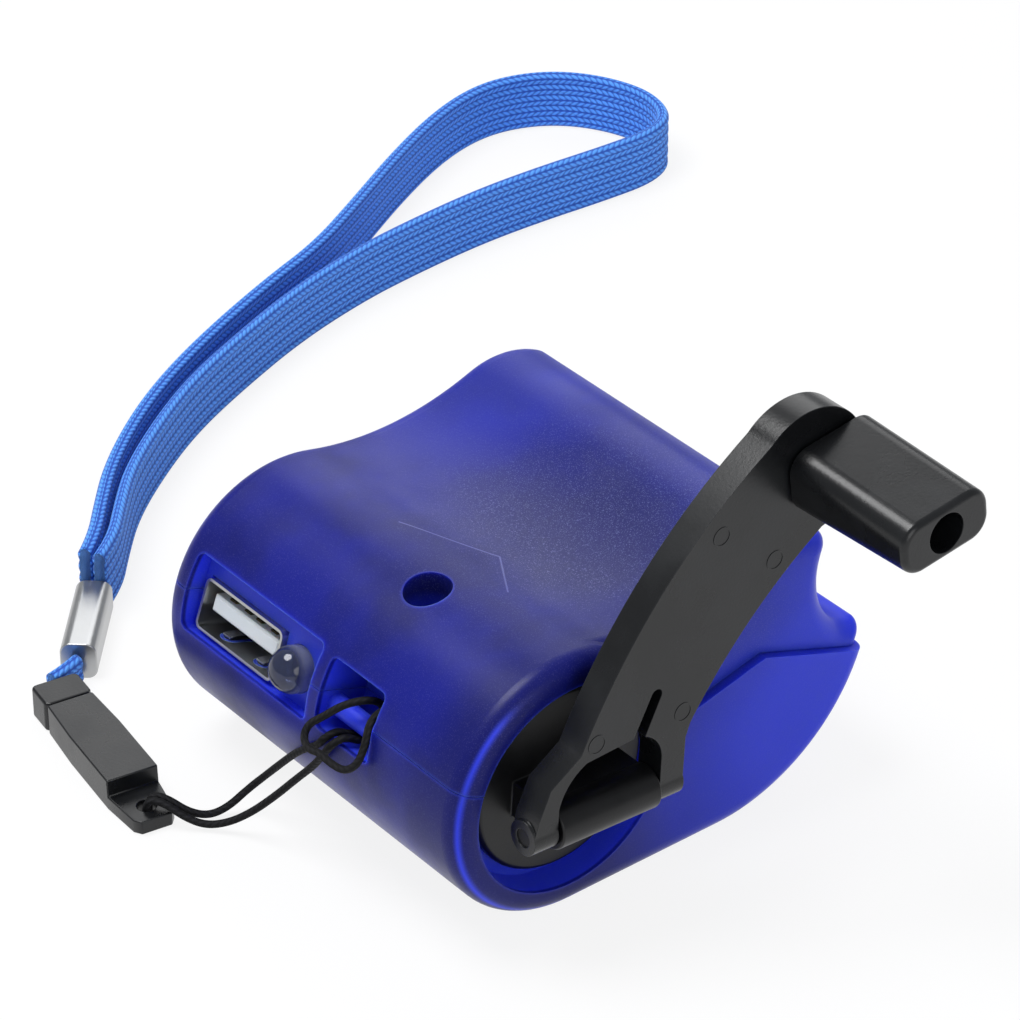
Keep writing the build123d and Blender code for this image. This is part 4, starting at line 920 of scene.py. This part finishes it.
bodies = frame["record"]["behaviour"]["bodies"]
bodyOf = {node: body for body, held in bodies.items() for node in held}
softEdges = {                               # node: piece, edge width in mm
    "crank_arm": ("crankArm", 0.28),
    "crank_hub": ("crankHub", 0.2),
    "crank_knob": ("crankKnob", 0.4),
    "buckle_socket": ("buckleSocket", 0.3),
    "buckle_plug": ("bucklePlug", 0.3),
    "strap_crimp": ("strapCrimp", 0.15),
}
soft = {node: brokenEdges(node, name, width) for node, (name, width) in softEdges.items()}
print("edges softened:", ", ".join(piece.name for piece in soft.values()))

# what repeats: spring tabs in the socket, ejector marks on the arm


def copiesTree():
    # one copy of a piece at each point, turned by the point's own attribute
    tree, given, out = shapeTree("placedCopies", Piece="Object", Size="Float", Finish="Material")
    piece = tree.nodes.new("GeometryNodeObjectInfo")
    link(tree, given["Piece"], piece.inputs["Object"])
    turn = tree.nodes.new("GeometryNodeInputNamedAttribute")
    turn.data_type = "FLOAT_VECTOR"
    turn.inputs["Name"].default_value = "turn"
    place = tree.nodes.new("GeometryNodeInstanceOnPoints")
    link(tree, given["Geometry"], place.inputs["Points"])
    link(tree, piece.outputs["Geometry"], place.inputs["Instance"])
    link(tree, turn.outputs["Attribute"], place.inputs["Rotation"])
    link(tree, given["Size"], place.inputs["Scale"])
    finishTree(tree, place.outputs[0], given, out)
    return tree


copyTree = copiesTree()


def copies(name, piece, spots, slot, body):
    mesh = bpy.data.meshes.new(name)
    mesh.from_pydata([spot.to_translation() for spot in spots], [], [])
    turns = mesh.attributes.new("turn", "FLOAT_VECTOR", "POINT")
    for number, spot in enumerate(spots):
        turns.data[number].vector = spot.to_euler()
    carrier = bpy.data.objects.new(name + "Spots", mesh)
    scene.collection.objects.link(carrier)
    applyTree(carrier, copyTree, Piece=piece, Size=1.0, Finish=finishes[slot])
    made = settle(carrier, name)
    bpy.data.objects.remove(piece)
    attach(made, body)


def ribbon(name, points, width, low, high):
    # a thin strip, from low to high, along points of across, along and any rise
    work = bmesh.new()
    rows = []
    last = len(points) - 1
    for number, point in enumerate(points):
        before, after = points[max(number - 1, 0)], points[min(number + 1, last)]
        way = Vector((after[0] - before[0], after[1] - before[1], 0.0)).normalized()
        off = Vector((-way.y, way.x, 0.0)) * width / 2
        middle = Vector((point[0], point[1], 0.0))
        rise = point[2] if len(point) > 2 else 0.0
        rows.append([
            work.verts.new(((middle + off * side) + Vector((0, 0, height + rise))) * mm)
            for side, height in ((1, low), (1, high), (-1, high), (-1, low))])
    for first, second in zip(rows, rows[1:]):
        for corner in range(4):
            work.faces.new((first[corner], first[corner - 1], second[corner - 1], second[corner]))
    work.faces.new(rows[0])
    work.faces.new(reversed(rows[-1]))
    bmesh.ops.recalc_face_normals(work, faces=work.faces)
    mesh = bpy.data.meshes.new(name)
    work.to_mesh(mesh)
    work.free()
    made = bpy.data.objects.new(name, mesh)
    scene.collection.objects.link(made)
    return made


socket = {                                  # lengths in mm
    "lean": 20.0,                           # degrees
    "mouth": 13.1,                          # from the middle of the round end
    "middle": (-13.8, -1.0),
    "halfHeight": 2.55,                     # inside
    "tabAcross": 2.9,
    "tabWidth": 1.7,
    "tabLength": 4.2,
    "tabBehind": 1.0,
    "tabInset": 0.35,                       # short of its slot's end
    "tabMargin": 0.5,                       # narrower than its slot
    "tabBulge": 0.42,
    "tabBend": 0.86,                        # of half a wave
    "tabHigh": 0.16,
    "tabSteps": 10,
    "slotWidth": 0.42,
    "slotHigh": 0.03,
    "slotTurn": 15,                         # degrees between its points
    "sunk": 0.02,                           # both, into the wall
}


def socketSpot(across, rise, reach, turn):
    # a place in the socket; its z axis points into the opening, its y axis to the mouth
    lean = math.radians(socket["lean"])
    right, up = Vector((0, -1, 0)), Vector((math.sin(lean), 0, math.cos(lean)))
    out = Vector((-math.cos(lean), 0, math.sin(lean)))
    x, y, z = -right * turn, out, up * turn
    spot = Vector(roundEnd) + right * across + up * rise + out * reach
    turned = Matrix(((x.x, y.x, z.x), (x.y, y.y, z.y), (x.z, y.z, z.z)))
    return Matrix.Translation(spot * mm) @ turned.to_4x4()


def socketDetails():
    spots = []
    across, rise = socket["middle"]
    for way in (-1, 1):
        for side in (-1, 1):
            spots.append(socketSpot(
                across + side * socket["tabAcross"], rise - way * socket["halfHeight"],
                socket["mouth"] - socket["tabBehind"], way))
    half, length, sunk = socket["tabWidth"] / 2, socket["tabLength"], -socket["sunk"]
    turns = [math.radians(turn) for turn in range(-90, 91, socket["slotTurn"])]
    bend = [(half * math.sin(turn), -half + half * math.cos(turn)) for turn in turns]
    slotPath = [(-half, -length)] + bend + [(half, -length)]
    slotShape = ribbon("slotShape", slotPath, socket["slotWidth"], sunk, socket["slotHigh"])
    copies("springSlots", slotShape, spots, "blue_plastic", "case")
    springPath = []
    for number in range(socket["tabSteps"] + 1):
        share = number / socket["tabSteps"]
        lift = socket["tabBulge"] * math.sin(share * math.pi * socket["tabBend"])
        springPath.append((0.0, -length + share * (length - socket["tabInset"]), lift))
    springWidth = socket["tabWidth"] - socket["tabMargin"]
    spring = ribbon("springShape", springPath, springWidth, sunk, socket["tabHigh"])
    copies("springTabs", spring, spots, "nickel", "case")


marks = {
    "face": -29.9,                          # mm, the arm's outer face
    "places": [(0.98, 41.35), (7.95, 35.77), (-14.24, 23.73), (-3.4, 22.73)],
    "radius": 1.0,
    "line": 0.13,
    "proud": 0.05,
    "sunk": 0.02,
    "sides": 24,
}


def ejectorMarks():
    count = marks["sides"]
    turns = [math.radians(360.0 * number / count) for number in range(count + 1)]
    loop = [(marks["radius"] * math.cos(turn), marks["radius"] * math.sin(turn)) for turn in turns]
    ring = ribbon("markShape", loop, marks["line"], -marks["sunk"], marks["proud"])
    facing = Matrix.Rotation(math.radians(90.0), 4, "X")
    spots = [
        Matrix.Translation(Vector((x, marks["face"], z)) * mm) @ facing for x, z in marks["places"]]
    copies("ejectorMarks", ring, spots, "black_plastic", "arm")


socketDetails()
ejectorMarks()
print("spring tabs and ejector marks placed")

centreline(cord["route"])
centreline(strapPath)
